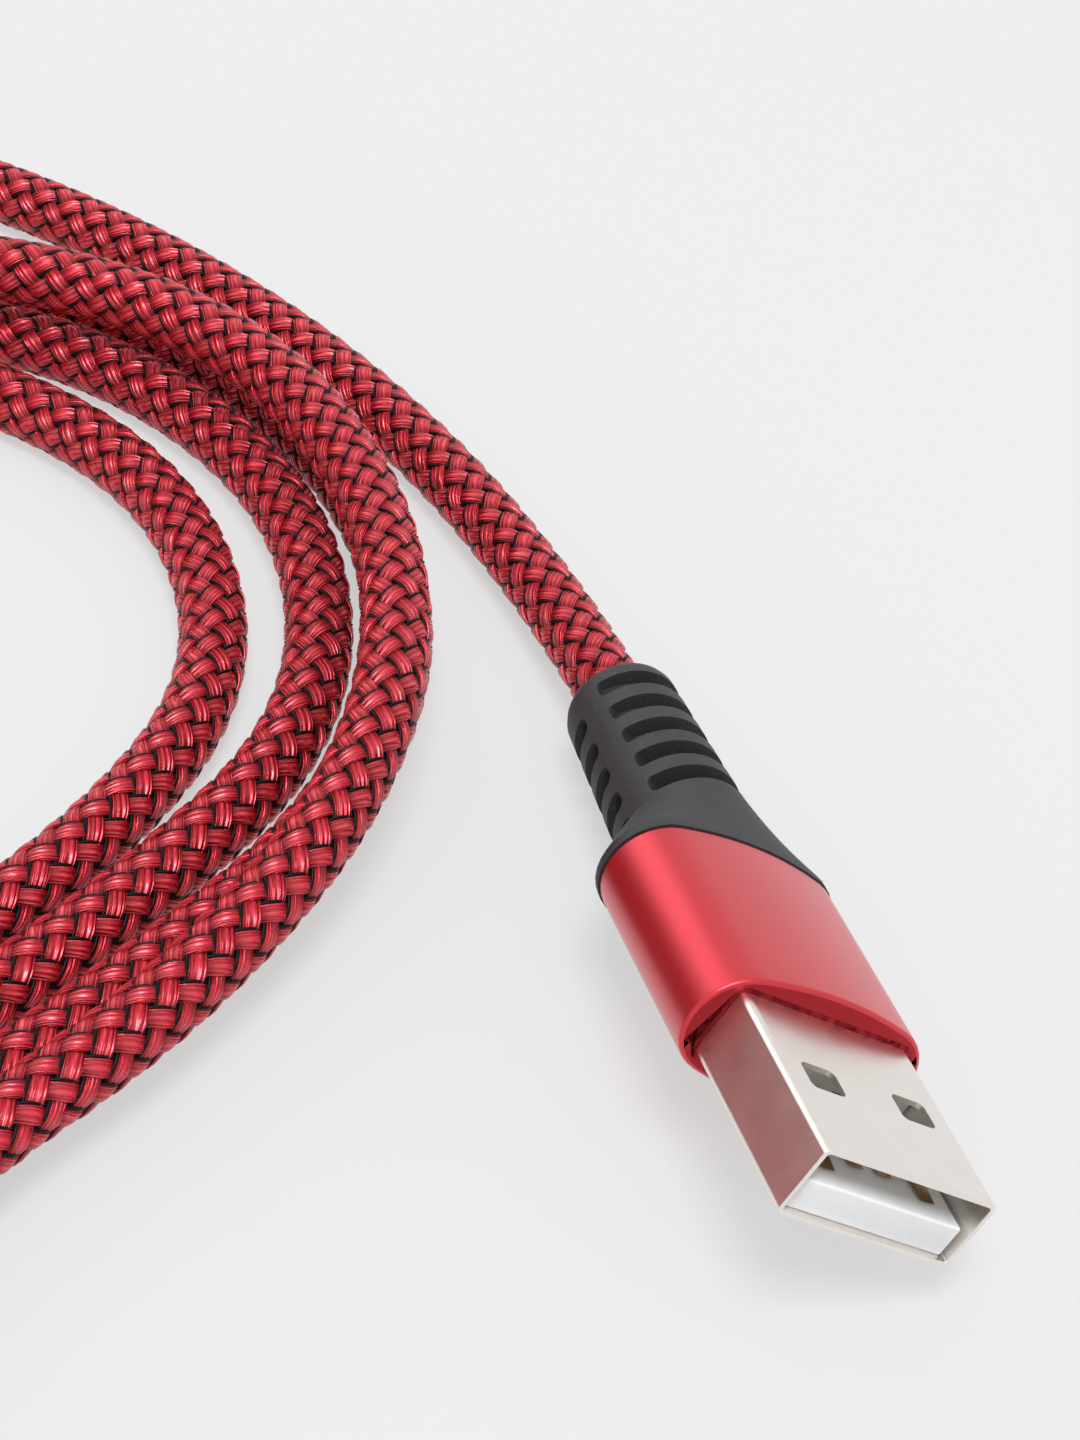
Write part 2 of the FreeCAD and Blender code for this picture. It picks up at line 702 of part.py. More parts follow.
mould = new_body("usb_c_inner_mould")
sketch = oval(mould, "outside", c_inner_wide, c_inner_tall, spigot_side("c"), c_mould_start)
pad(mould, sketch, c_mould_end - c_mould_start, "block_of_plastic")
c_wire_level = size("c_board_thick") / 2 + size("wire_dia") / 2
c_room_wide = size("c_board_wide") + gap * 2
c_room_tall = (c_wire_level + size("wire_dia") / 2 + gap) * 2
block(mould, "board_room", c_room_wide, c_room_tall, c_shell_back - c_mould_start,
      c_mould_start, cut=True)
sketch = rounded_rectangle(mould, "shell_seat", c_hole_wide, c_hole_tall,
                           c_hole_round, c_shell_back)
pocket(mould, sketch, c_mould_end - c_shell_back, "shell_pocket")
bodies_c.append(mould)

c_shell = new_body("usb_c_shell")
c_shell_long = c_tip - c_shell_back
c_shell_round = size("c_shell_tall") / 2 - gap / 4
pad(c_shell, rounded_rectangle(c_shell, "outside", size("c_shell_wide"), size("c_shell_tall"),
                               c_shell_round, c_shell_back), c_shell_long, "tube")
c_in_wide = size("c_shell_wide") - size("c_shell_sheet") * 2
c_in_tall = size("c_shell_tall") - size("c_shell_sheet") * 2
c_in_round = c_shell_round - size("c_shell_sheet")
sketch = rounded_rectangle(c_shell, "inside", c_in_wide, c_in_tall, c_in_round, c_shell_back)
pocket(c_shell, sketch, c_shell_long, "mouth")
bodies_c.append(c_shell)

insulator = new_body("usb_c_insulator")
core_end = c_tip - size("c_core_back")
core_start = core_end - size("c_core_long")
sketch = rounded_rectangle(insulator, "outside", c_in_wide - gap, c_in_tall - gap / 2,
                           c_in_round - gap / 4, core_start)
pad(insulator, sketch, size("c_core_long"), "core")
slot_start = core_end - size("c_slot_deep")
c_slot_wide = c_in_wide - size("c_slot_wall") * 2
block(insulator, "plug_slot", c_slot_wide, size("c_slot_tall"), size("c_slot_deep"),
      slot_start, cut=True)
row_wide = size("c_contact_pitch") * 11 + size("c_contact_wide")
contact_start = slot_start + gap
channel_wide = row_wide + gap
for name, up in (("upper_channel", 1), ("lower_channel", -1)):
    block(insulator, name, channel_wide, size("c_contact_thick") * 2,
          size("c_contact_long") + gap, slot_start, y=size("c_slot_tall") / 2 * up, cut=True)
for name, side in (("right_latch_seat", 1), ("left_latch_seat", -1)):
    block(insulator, name, size("c_latch_thick") * 2, size("c_latch_tall"),
          size("c_latch_long") + gap, slot_start, x=c_slot_wide / 2 * side, cut=True)
pad_depth = size("c_pad_thick")
pad_seat_y = (c_in_tall - gap / 2) / 2
for name, up in (("upper_pad_seat", 1), ("lower_pad_seat", -1)):
    block(insulator, name, size("c_pad_wide") + gap, pad_depth * 2, size("c_pad_long") + gap,
          core_start + size("c_pad_long"), y=pad_seat_y * up, cut=True)
bodies_c.append(insulator)


def contact_row(label, up):
    """Twelve contact blades side by side on one strip."""
    body = new_body(label)
    level = (size("c_slot_tall") / 2 + size("c_contact_thick") / 2) * up
    block(body, "carrier", row_wide, size("c_contact_thick"), size("c_contact_wide"),
          contact_start, y=level)
    blade = block(body, "blade", size("c_contact_wide"), size("c_contact_thick"),
                  size("c_contact_long"), contact_start,
                  x=size("c_contact_pitch") * -5.5, y=level)
    pattern = body.newObject("PartDesign::LinearPattern", "blades")
    pattern.Originals = [blade]
    pattern.Direction = (origin_part(body, "X_Axis"), [""])
    pattern.Mode = "Spacing"
    pattern.setExpression("Offset", size("c_contact_pitch").text)
    pattern.Occurrences = 12
    body.Tip = pattern
    return body


bodies_c.append(contact_row("usb_c_contacts_upper", 1))
bodies_c.append(contact_row("usb_c_contacts_lower", -1))

latch = new_body("usb_c_latch_springs")
latch_x = c_slot_wide / 2 + size("c_latch_thick") / 2
yoke_long = size("c_latch_thick")
for name, side in (("right_arm", 1), ("left_arm", -1)):
    block(latch, name, size("c_latch_thick"), size("c_latch_tall"), size("c_latch_long"),
          contact_start, x=latch_x * side)
block(latch, "yoke", (latch_x + size("c_latch_thick") / 2) * 2, size("c_latch_tall"),
      yoke_long, contact_start)
bodies_c.append(latch)

for name, up in (("upper", 1), ("lower", -1)):
    spring = new_body("usb_c_emi_spring_" + name)
    block(spring, "plate", size("c_pad_wide"), pad_depth, size("c_pad_long"),
          core_start + size("c_pad_long") + gap / 2, y=(pad_seat_y - pad_depth / 2) * up)
    bodies_c.append(spring)

board = new_body("usb_c_board")
board_end = core_start
board_start = board_end - size("c_board_long")
block(board, "board", size("c_board_wide"), size("c_board_thick"), size("c_board_long"),
      board_start)
bodies_c.append(board)

chip = new_body("usb_c_resistor")
block(chip, "chip", size("c_chip_wide"), size("c_chip_thick"), size("c_chip_long"),
      board_start + size("c_chip_long"),
      y=-size("c_board_thick") / 2 - size("c_chip_thick") / 2)
bodies_c.append(chip)

C_WIRES = (
    ("vbus", 1.5, 2.4),
    ("dminus", 0.5, 0.9),
    ("dplus", -0.5, -0.9),
    ("gnd", -1.5, -2.4),
)
c_wire_end = board_start + size("c_solder_long")
for name, pitches, spread in C_WIRES:
    bodies_c.append(wire("usb_c_wire_" + name, size("wire_pitch") * pitches,
                         size("wire_pitch") * spread, c_wire_level, c_mould_start, c_wire_end,
                         gap, size("c_solder_long"), size("wire_dia") / 2))


# The coil's stations, about its own centre before the yaw: x, y, height of the cord's
# centre, heading in degrees and slope. Five laps lie side by side; the outermost climbs
# over its neighbour on the east and north sides and comes back down on the west.
STATIONS = (
    (9.38, 53.14, 2.2, 152.30, 0.00),
    (-19.00, 58.50, 2.2, 180.00, 0.00),
    (-66.00, 2.00, 2.6, 270.00, 0.00),
    (-7.51, -79.11, 4.6, 4.64, 0.00),
    (31.37, -32.73, 5.0, 45.92, 0.03),
    (44.39, -1.72, 7.3, 90.38, 0.00),
    (12.32, 34.17, 7.3, 180.00, 0.00),
    (-62.02, -0.12, 6.3, 271.70, -0.03),
    (-19.11, -59.89, 2.2, 3.51, 0.00),
    (32.82, -25.06, 2.2, 49.66, 0.00),
    (44.61, 1.94, 2.2, 90.05, 0.00),
    (4.63, 40.41, 2.2, 180.00, 0.00),
    (-50.97, -6.30, 2.2, 266.03, 0.00),
    (-20.53, -52.37, 2.2, -0.06, 0.00),
    (30.67, -19.94, 2.2, 51.64, 0.00),
    (39.69, 1.97, 2.2, 89.95, 0.00),
    (5.11, 35.22, 2.2, 180.00, 0.00),
    (-44.67, -4.75, 2.2, 266.77, 0.00),
    (-18.80, -46.24, 2.2, -2.37, 0.00),
    (25.25, -18.85, 2.2, 48.72, 0.00),
    (32.98, 0.04, 2.2, 90.00, 0.00),
    (22.60, 22.25, 2.2, 149.00, 0.00),
)
TAIL_A_TURNS = (90.0, 101.35, 112.65, 123.95, 135.25)
TAIL_A_RUN = 17.0
TAIL_C_TURNS = (131.95, 154.96, 177.97, 200.98, 223.98, 246.99, 270.0)
TAIL_C_RUN = 8.5

YAW = math.radians(NUMBER["coil_yaw"])
COS_YAW = math.cos(YAW)
SIN_YAW = math.sin(YAW)


def unit(vector):
    return vector * (1.0 / vector.Length)


def compass(degrees, slope=0.0):
    turn = math.radians(degrees)
    return unit(Vector(math.cos(turn), math.sin(turn), slope))


def on_floor_plan(x, y, height):
    """A station of the coil in the part's own axes."""
    return Vector(NUMBER["coil_x"] + x * COS_YAW - y * SIN_YAW,
                  NUMBER["coil_y"] + x * SIN_YAW + y * COS_YAW, height)


class Route:
    """A run of tangent lines and arcs, kept as edges and as sampled points."""

    def __init__(self):
        self.edges = []
        self.points = []
        self.radii = []

    def line(self, start, end):
        if (end - start).Length < 1e-4:
            return
        self.edges.append(Part.LineSegment(start, end).toShape())
        count = max(2, int((end - start).Length / 1.5))
        for step in range(count):
            self.points.append(start + (end - start) * (step / count))
        self.end = end

    def bend(self, start, tangent, end):
        """A circular arc that leaves along the tangent and reaches the end point."""
        chord = end - start
        off = chord - tangent * chord.dot(tangent)
        if off.Length < 1e-5:
            self.line(start, end)
            return
        normal = unit(off)
        radius = chord.dot(chord) / (2.0 * off.Length)
        sweep = 2.0 * math.atan2(off.Length, chord.dot(tangent))
        centre = start + normal * radius

        def at(angle):
            return centre - normal * (radius * math.cos(angle)) + \
                tangent * (radius * math.sin(angle))

        self.edges.append(Part.Arc(start, at(sweep / 2), end).toShape())
        count = max(3, int(radius * sweep / 1.5))
        for step in range(count):
            self.points.append(at(sweep * step / count))
        self.radii.append(radius)
        self.end = end

    def finish(self):
        self.points.append(self.end)
        return self

    def length(self):
        return sum(edge.Length for edge in self.edges)


def add_biarc(route, start, start_way, end, end_way):
    """Two tangent arcs between two points with given headings."""
    gap_vector = end - start
    both = start_way + end_way
    square = 2.0 * (1.0 - start_way.dot(end_way))
    along = gap_vector.dot(both)
    if square < 1e-9:
        reach = gap_vector.dot(gap_vector) / (2.0 * gap_vector.dot(end_way))
    else:
        root = along * along + square * gap_vector.dot(gap_vector)
        reach = (math.sqrt(root) - along) / square
    middle = (start + end + (start_way - end_way) * reach) * 0.5
    way = unit((end - end_way * reach) - (start + start_way * reach))
    route.bend(start, start_way, middle)
    route.bend(middle, way, end)


def corner_route(points):
    """Straight runs joined by tangent arcs."""
    route = Route()
    place = points[0]
    for before, corner, after in zip(points, points[1:], points[2:]):
        into = unit(corner - before)
        out = unit(after - corner)
        half = into.getAngle(out) / 2.0
        cut = 0.45 * min((corner - before).Length, (after - corner).Length)
        first = corner - into * cut
        route.line(place, first)
        route.bend(first, into, corner + out * cut)
        place = corner + out * cut
    route.line(place, points[-1])
    return route.finish()


def make_tube(label, route):
    """A round cord along a route."""
    spine = doc.addObject("Part::Feature", label + "_route")
    spine.Shape = Part.Wire(route.edges)
    section = doc.addObject("Part::Circle", label + "_section")
    section.setExpression("Radius", "sizes.cord_dia / 2")
    way = unit(route.points[1] - route.points[0])
    turn = FreeCAD.Rotation(Vector(0, 0, 1), way)
    section.Placement = FreeCAD.Placement(route.points[0], turn)
    tube = doc.addObject("Part::Sweep", label)
    tube.Label = label
    tube.Sections = [section]
    tube.Spine = (spine, ["Edge%d" % (number + 1) for number in range(len(route.edges))])
    tube.Solid = True
    tube.Frenet = False
    doc.recompute()
    ideal = math.pi * (NUMBER["cord_dia"] / 2.0) ** 2 * route.length()
    least = min(route.radii) if route.radii else 0.0
    print(label, "length", round(route.length(), 1), "least radius", round(least, 1),
          "volume", round(tube.Shape.Volume, 1), "of", round(ideal, 1))
    return tube


def least_gap(first, second, apart):
    """The least clear distance between two sampled routes, skipping near neighbours."""
    best = 1e9
    step_one = [0.0]
    for one, two in zip(first, first[1:]):
        step_one.append(step_one[-1] + (two - one).Length)
    for index, one in enumerate(first):
        for number, two in enumerate(second):
            if first is second and abs(step_one[index] - step_one[number]) < apart:
                continue
            distance = (one.x - two.x) ** 2 + (one.y - two.y) ** 2 + (one.z - two.z) ** 2
            if distance < best:
                best = distance
    return math.sqrt(best) - NUMBER["cord_dia"]


# The plugs lie with their tips toward -Y.
a_turn = FreeCAD.Rotation(Vector(1, 0, 0), 90.0 - NUMBER["a_tilt"])
a_turn = a_turn.multiply(FreeCAD.Rotation(Vector(0, 0, 1), NUMBER["a_roll"]))
a_end = Vector(NUMBER["a_end_x"], NUMBER["a_end_y"], NUMBER["a_end_high"])
for body in bodies_a:
    body.Placement = FreeCAD.Placement(a_end, a_turn)

# The coil, with a straight lead at each end.
coil = Route()
lead = NUMBER["cord_dia"]
ways = []
places = []
for x, y, height, heading, slope in STATIONS:
    places.append(on_floor_plan(x, y, height))
    ways.append(compass(heading + NUMBER["coil_yaw"], slope))
coil_start = places[0] - ways[0] * lead
coil_end = places[-1] + ways[-1] * lead
coil.line(coil_start, places[0])
for number in range(len(places) - 1):
    add_biarc(coil, places[number], ways[number], places[number + 1], ways[number + 1])
coil.line(places[-1], coil_end)
coil.finish()
coil_tube = make_tube("cable_coil", coil)

# The tail to the USB-A plug: its first run follows the relief down to the surface.
tilt = math.radians(NUMBER["a_tilt"])
steps = [compass(turn) for turn in TAIL_A_TURNS]
fixed = (steps[1] + steps[2] + steps[3]) * TAIL_A_RUN
left = coil_start - a_end - fixed
first_way = steps[0]
last_way = steps[4]
cross = first_way.x * last_way.y - first_way.y * last_way.x
first_run = (left.x * last_way.y - left.y * last_way.x) / cross
last_run = (first_way.x * left.y - first_way.y * left.x) / cross
tail_points = [a_end]
for way, run in zip(steps, (first_run, TAIL_A_RUN, TAIL_A_RUN, TAIL_A_RUN, last_run)):
    tail_points.append(tail_points[-1] + way * run)
floor_level = NUMBER["cord_dia"] / 2.0
drop = NUMBER["a_end_high"] - first_run * math.tan(tilt)
tail_points[1].z = max(floor_level, drop)
for point in tail_points[2:]:
    point.z = floor_level
tail_points[-1] = coil_start
print("tail a runs", round(first_run, 2), round(last_run, 2), "first drop", round(drop, 2))
tail_a = corner_route(tail_points)
tail_a_tube = make_tube("cable_tail_a", tail_a)

# The tail to the USB-C plug, which lies flat inside the ring of the coil.
c_end_high = NUMBER["c_house_tall"] / 2.0 + NUMBER["flange_lip"]
tail_points = [coil_end]
for turn in TAIL_C_TURNS:
    tail_points.append(tail_points[-1] + compass(turn) * TAIL_C_RUN)
rise = (c_end_high - floor_level) / (len(TAIL_C_TURNS) - 3)
for number in range(3, len(tail_points)):
    tail_points[number].z = min(c_end_high, floor_level + rise * (number - 2))
tail_c = corner_route(tail_points)
tail_c_tube = make_tube("cable_tail_c", tail_c)
c_end = tail_points[-1]
c_turn = FreeCAD.Rotation(Vector(1, 0, 0), 90.0)
for body in bodies_c:
    body.Placement = FreeCAD.Placement(c_end, c_turn)

print("least gap of the coil to itself", round(least_gap(coil.points, coil.points, 14.0), 3))
print("coil to the tails", round(least_gap(coil.points, tail_a.points[4:-8], 0), 3),
      round(least_gap(coil.points, tail_c.points[8:], 0), 3))
print("cord length", round(coil.length() + tail_a.length() + tail_c.length(), 1))

doc.recompute()
for thing in doc.Objects:
    if "Invalid" in thing.State or "Error" in thing.State:
        raise RuntimeError("%s did not compute: %s" % (thing.Label, thing.State))
os.makedirs("parts", exist_ok=True)
for thing in PIECES + [coil_tube, tail_a_tube, tail_c_tube]:
    shape = thing.Shape
    if shape.isNull() or not shape.isValid() or len(shape.Solids) != 1:
        raise RuntimeError("%s is not one valid solid" % thing.Label)
    shape.exportStep(os.path.join("parts", thing.Label + ".step"))
print("pieces", len(PIECES) + 3)
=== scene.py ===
"""Charging cable: a red braided cord with a USB-A plug and a USB-C plug."""

import math

import bmesh
import bpy
import numpy as np
from bpy.props import (
    BoolProperty,
    FloatProperty,
    FloatVectorProperty,
    IntProperty,
    PointerProperty,
)
from mathutils import Matrix, Vector


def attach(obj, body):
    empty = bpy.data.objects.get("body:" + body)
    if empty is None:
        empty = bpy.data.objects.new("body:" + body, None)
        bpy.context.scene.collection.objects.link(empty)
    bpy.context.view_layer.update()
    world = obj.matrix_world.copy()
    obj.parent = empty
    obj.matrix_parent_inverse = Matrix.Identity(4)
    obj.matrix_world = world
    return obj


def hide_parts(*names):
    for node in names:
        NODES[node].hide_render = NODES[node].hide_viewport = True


bl_info = {
    "name": "Braided charging cable",
    "version": (1, 0, 0),
    "blender": (4, 5, 0),
    "location": "3D View > Sidebar > Cable",
    "description": "Builds a braided charging cable with its two plugs",
    "category": "Add Mesh",
}

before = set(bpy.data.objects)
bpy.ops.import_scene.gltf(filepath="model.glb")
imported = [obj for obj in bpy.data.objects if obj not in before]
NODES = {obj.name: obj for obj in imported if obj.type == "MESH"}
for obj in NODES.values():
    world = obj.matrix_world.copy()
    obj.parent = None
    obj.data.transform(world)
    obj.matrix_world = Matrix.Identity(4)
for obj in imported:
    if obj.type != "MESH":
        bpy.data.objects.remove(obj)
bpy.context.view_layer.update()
MM = 0.001

# The middle of the cord from the USB-A relief to the USB-C relief, in metres.
CORD_ROUTE = (
    (0.0340, 0.0101, 0.0040), (0.0341, 0.0200, 0.0026), (0.0303, 0.0397, 0.0022),
    (0.0223, 0.0580, 0.0022), (0.0102, 0.0742, 0.0022), (-0.0048, 0.0868, 0.0022),
    (-0.0240, 0.0941, 0.0022), (-0.0439, 0.0947, 0.0023), (-0.0619, 0.0850, 0.0024),
    (-0.0753, 0.0700, 0.0026), (-0.0836, 0.0520, 0.0026), (-0.0876, 0.0322, 0.0027),
    (-0.0884, 0.0125, 0.0030), (-0.0865, -0.0077, 0.0036), (-0.0783, -0.0261, 0.0042),
    (-0.0632, -0.0388, 0.0046), (-0.0422, -0.0449, 0.0046), (-0.0257, -0.0349, 0.0045),
    (-0.0141, -0.0176, 0.0047), (0.0037, -0.0079, 0.0049), (0.0182, 0.0058, 0.0071),
    (0.0243, 0.0249, 0.0074), (0.0208, 0.0458, 0.0073), (0.0067, 0.0593, 0.0073),
    (-0.0136, 0.0644, 0.0073), (-0.0324, 0.0683, 0.0072), (-0.0527, 0.0719, 0.0072),
    (-0.0720, 0.0651, 0.0068), (-0.0814, 0.0467, 0.0062), (-0.0832, 0.0269, 0.0054),
    (-0.0827, 0.0069, 0.0040), (-0.0744, -0.0117, 0.0025), (-0.0565, -0.0217, 0.0022),
    (-0.0362, -0.0222, 0.0022), (-0.0176, -0.0148, 0.0022), (-0.0003, -0.0052, 0.0022),
    (0.0164, 0.0063, 0.0022), (0.0255, 0.0244, 0.0022), (0.0232, 0.0448, 0.0022),
    (0.0113, 0.0614, 0.0022), (-0.0068, 0.0702, 0.0022), (-0.0270, 0.0716, 0.0022),
    (-0.0465, 0.0670, 0.0022), (-0.0630, 0.0552, 0.0022), (-0.0727, 0.0375, 0.0022),
    (-0.0757, 0.0179, 0.0022), (-0.0719, -0.0026, 0.0022), (-0.0554, -0.0145, 0.0022),
    (-0.0346, -0.0154, 0.0022), (-0.0161, -0.0084, 0.0022), (0.0013, 0.0013, 0.0022),
    (0.0169, 0.0144, 0.0022), (0.0210, 0.0346, 0.0022), (0.0126, 0.0534, 0.0022),
    (-0.0045, 0.0643, 0.0022), (-0.0247, 0.0665, 0.0022), (-0.0443, 0.0627, 0.0022),
    (-0.0605, 0.0499, 0.0022), (-0.0675, 0.0315, 0.0022), (-0.0688, 0.0103, 0.0022),
    (-0.0589, -0.0064, 0.0022), (-0.0369, -0.0111, 0.0022), (-0.0193, -0.0039, 0.0022),
    (-0.0007, 0.0052, 0.0022), (0.0128, 0.0200, 0.0022), (0.0128, 0.0405, 0.0022),
    (-0.0014, 0.0571, 0.0022), (-0.0210, 0.0606, 0.0027), (-0.0361, 0.0444, 0.0041),
    (-0.0344, 0.0340, 0.0040),
)

# Where each plug's own axis starts, and how the plug is turned there.
PLUG_A_END = Vector((33.56, 10.11, 4.035)) * MM
PLUG_A_TURN = Matrix.Rotation(math.radians(84.15), 4, "X") @ Matrix.Rotation(
    math.radians(-33.7), 4, "Z"
)
PLUG_C_END = Vector((-34.404, 33.979, 3.98)) * MM
PLUG_C_TURN = Matrix.Rotation(math.radians(90.0), 4, "X")

# How far the cord pulls the USB-A relief's soft end aside, across the plug.
RELIEF_LEAN = Vector((0.33, 0.24)) * MM

# The reliefs' slots: width, distance from one to the next, and radius of their floor.
SLOT_WIDE = 1.35 * MM
SLOT_PITCH = 2.5 * MM
SLOT_FLOOR = 2.65 * MM

# The rows of slots: the way they face and their span in degrees, and the first one's place.
SLOT_ROWS = ((90.0, 128.0, 1.35), (270.0, 176.0, 2.6))

# Points on each round side and on each crowned face of a plug's outline.
SIDE_STEPS = 14
CROWN_STEPS = 20

# Filament ridges across a bundle, and how far past its crest the painted highlight on a bundle
# lies, in radians.
RIDGES = 6.5
PAINTED_HIGHLIGHT_SHIFT = 0.9

# The photograph's camera: its place, and its tilt down, roll and heading.
VIEW_PLACE = Vector((-20.74, -123.59, 132.36)) * MM
VIEW_DOWN = math.radians(42.0)
VIEW_ROLL = math.radians(5.0)
VIEW_HEADING = math.radians(-17.05)

# Both plugs' sizes: name, label, USB-A and USB-C in millimetres, and description.
PLUG_SIZES = (
    ("relief_long", "Relief length", 18.5, 16.0, "Length of the strain relief"),
    ("waist_at", "Waist", 12.9, 10.6, "Where the relief starts to widen"),
    ("house_long", "Housing length", 13.3, 12.0, "Length of the red housing"),
    ("house_wide", "Housing width", 15.6, 12.4, "Width of the red housing"),
    ("house_tall", "Housing height", 7.56, 7.8, "Height of the red housing"),
    ("house_side", "Side radius", 3.3, 3.0, "Radius of the housing's sides"),
    ("shell_wide", "Shell width", 12.0, 8.34, "Width of the metal shell"),
    ("shell_tall", "Shell height", 4.5, 2.56, "Height of the metal shell"),
    ("shell_round", "Shell corner", 0.5, 1.25, "Corner radius of the metal shell"),
    ("shell_out", "Shell length", 12.0, 6.65, "Length of shell outside the housing"),
    ("shell_in", "Shell held", 6.5, 3.0, "Length of shell inside the housing"),
    ("sheet", "Sheet", 0.3, 0.2, "Thickness of the shell's sheet metal"),
)

# The CAD nodes that each finish goes on, by what follows the plug in their names. The
# nodes of the cord and its two ends, which aren't here, have the jacket's finish.
NODES_IN = {
    "spring_steel": ("crimp_ring", "latch_springs", "emi_spring_upper", "emi_spring_lower"),
    "gold_contacts": ("contact_vbus", "contact_dminus", "contact_dplus", "contact_gnd",
                      "contacts_upper", "contacts_lower"),
    "white_plastic": ("inner_mould", "wire_comb", "tongue"),
    "black_plastic": ("resistor", "insulator"),
    "circuit_board": ("board",),
    "wire_red": ("wire_vbus",),
    "wire_white": ("wire_dminus",),
    "wire_green": ("wire_dplus",),
    "wire_black": ("wire_gnd",),
    "relief_rubber": ("strain_relief",),
    "anodised_red": ("housing",),
    "plated_steel": ("shell",),
}


def millimetres(name, default, description):
    """A length property that is typed in millimetres and stored in metres."""
    return FloatProperty(
        name=name,
        description=description,
        default=default * MM,
        min=0.0,
        precision=5,
        unit="LENGTH",
        subtype="DISTANCE",
    )


def colour(name, default, description):
    return FloatVectorProperty(
        name=name,
        description=description,
        default=default,
        min=0.0,
        max=1.0,
        size=3,
        subtype="COLOR",
    )


class CordSettings(bpy.types.PropertyGroup):
    """Sizes and colours of the braided cord."""

    diameter: millimetres("Diameter", 4.4, "Outside diameter of the braided cord")
    core_diameter: millimetres("Core", 3.5, "Diameter of the black jacket under the braid")
    ribbon_wide: millimetres("Ribbon width", 1.04, "Width of one flat bundle of filaments")
    ribbon_thick: millimetres("Ribbon thickness", 0.13, "Crown of one bundle of filaments")
    weave_rise: millimetres("Weave rise", 0.13, "How far a bundle rises over the next one")
    thread_wide: millimetres("Thread width", 0.18, "Width of the black thread beside a bundle")
    chevron_pitch: millimetres("Chevron pitch", 2.3, "Length of one chevron along the cord")
    carriers: IntProperty(
        name="Carriers", description="Bundles that wind each way", default=7, min=4, max=16
    )
    samples: IntProperty(
        name="Samples", description="Mesh points along one chevron", default=7, min=3, max=12
    )
    red: colour("Filament red", (0.98, 0.022, 0.05), "Colour of the red filaments")
    black: colour("Thread black", (0.005, 0.004, 0.005), "Colour of the black thread")


def plug_settings(name, column, slots):
    """A group of one plug's sizes, along its own axis from the cable."""
    sizes = {row[0]: millimetres(row[1], row[column], row[4]) for row in PLUG_SIZES}
    sizes["slot_count"] = IntProperty(
        name="Slots", description="Slots along the relief's top", default=slots, min=1, max=8
    )
    return type(name, (bpy.types.PropertyGroup,), {"__annotations__": sizes})


UsbASettings = plug_settings("UsbASettings", 2, slots=5)
UsbCSettings = plug_settings("UsbCSettings", 3, slots=4)


class FinishSettings(bpy.types.PropertyGroup):
    """Colours that a user would change."""

    housing_red: colour("Housing red", (0.66, 0.012, 0.03), "Anodised housing")
    relief_grey: colour("Relief grey", (0.022, 0.023, 0.026), "Soft strain relief")
    plate: colour("Plating", (0.89, 0.845, 0.8), "Nickel-plated shell")
    gold: colour("Gold", (0.55, 0.38, 0.17), "Gold-plated contacts")
    white: colour("White plastic", (0.82, 0.83, 0.84), "Tongue and inner mouldings")
    floor: colour("Floor", (0.777, 0.777, 0.78), "Paper under the cable")
    soft_edges: BoolProperty(
        name="Soft edges", description="Round the edges of moulded pieces", default=True
    )


class Signal:
    """A node socket that takes part in ordinary sums, each of which adds a Math node."""

    def __init__(self, graph, socket):
        self.graph = graph
        self.socket = socket

    def math(self, operation, *others):
        return self.graph.math(operation, self, *others)

    def __add__(self, other):
        return self.math("ADD", other)

    def __sub__(self, other):
        return self.math("SUBTRACT", other)

    def __rsub__(self, other):
        return self.graph.math("SUBTRACT", other, self)

    def __mul__(self, other):
        return self.math("MULTIPLY", other)

    def __pow__(self, other):
        return self.math("POWER", other)


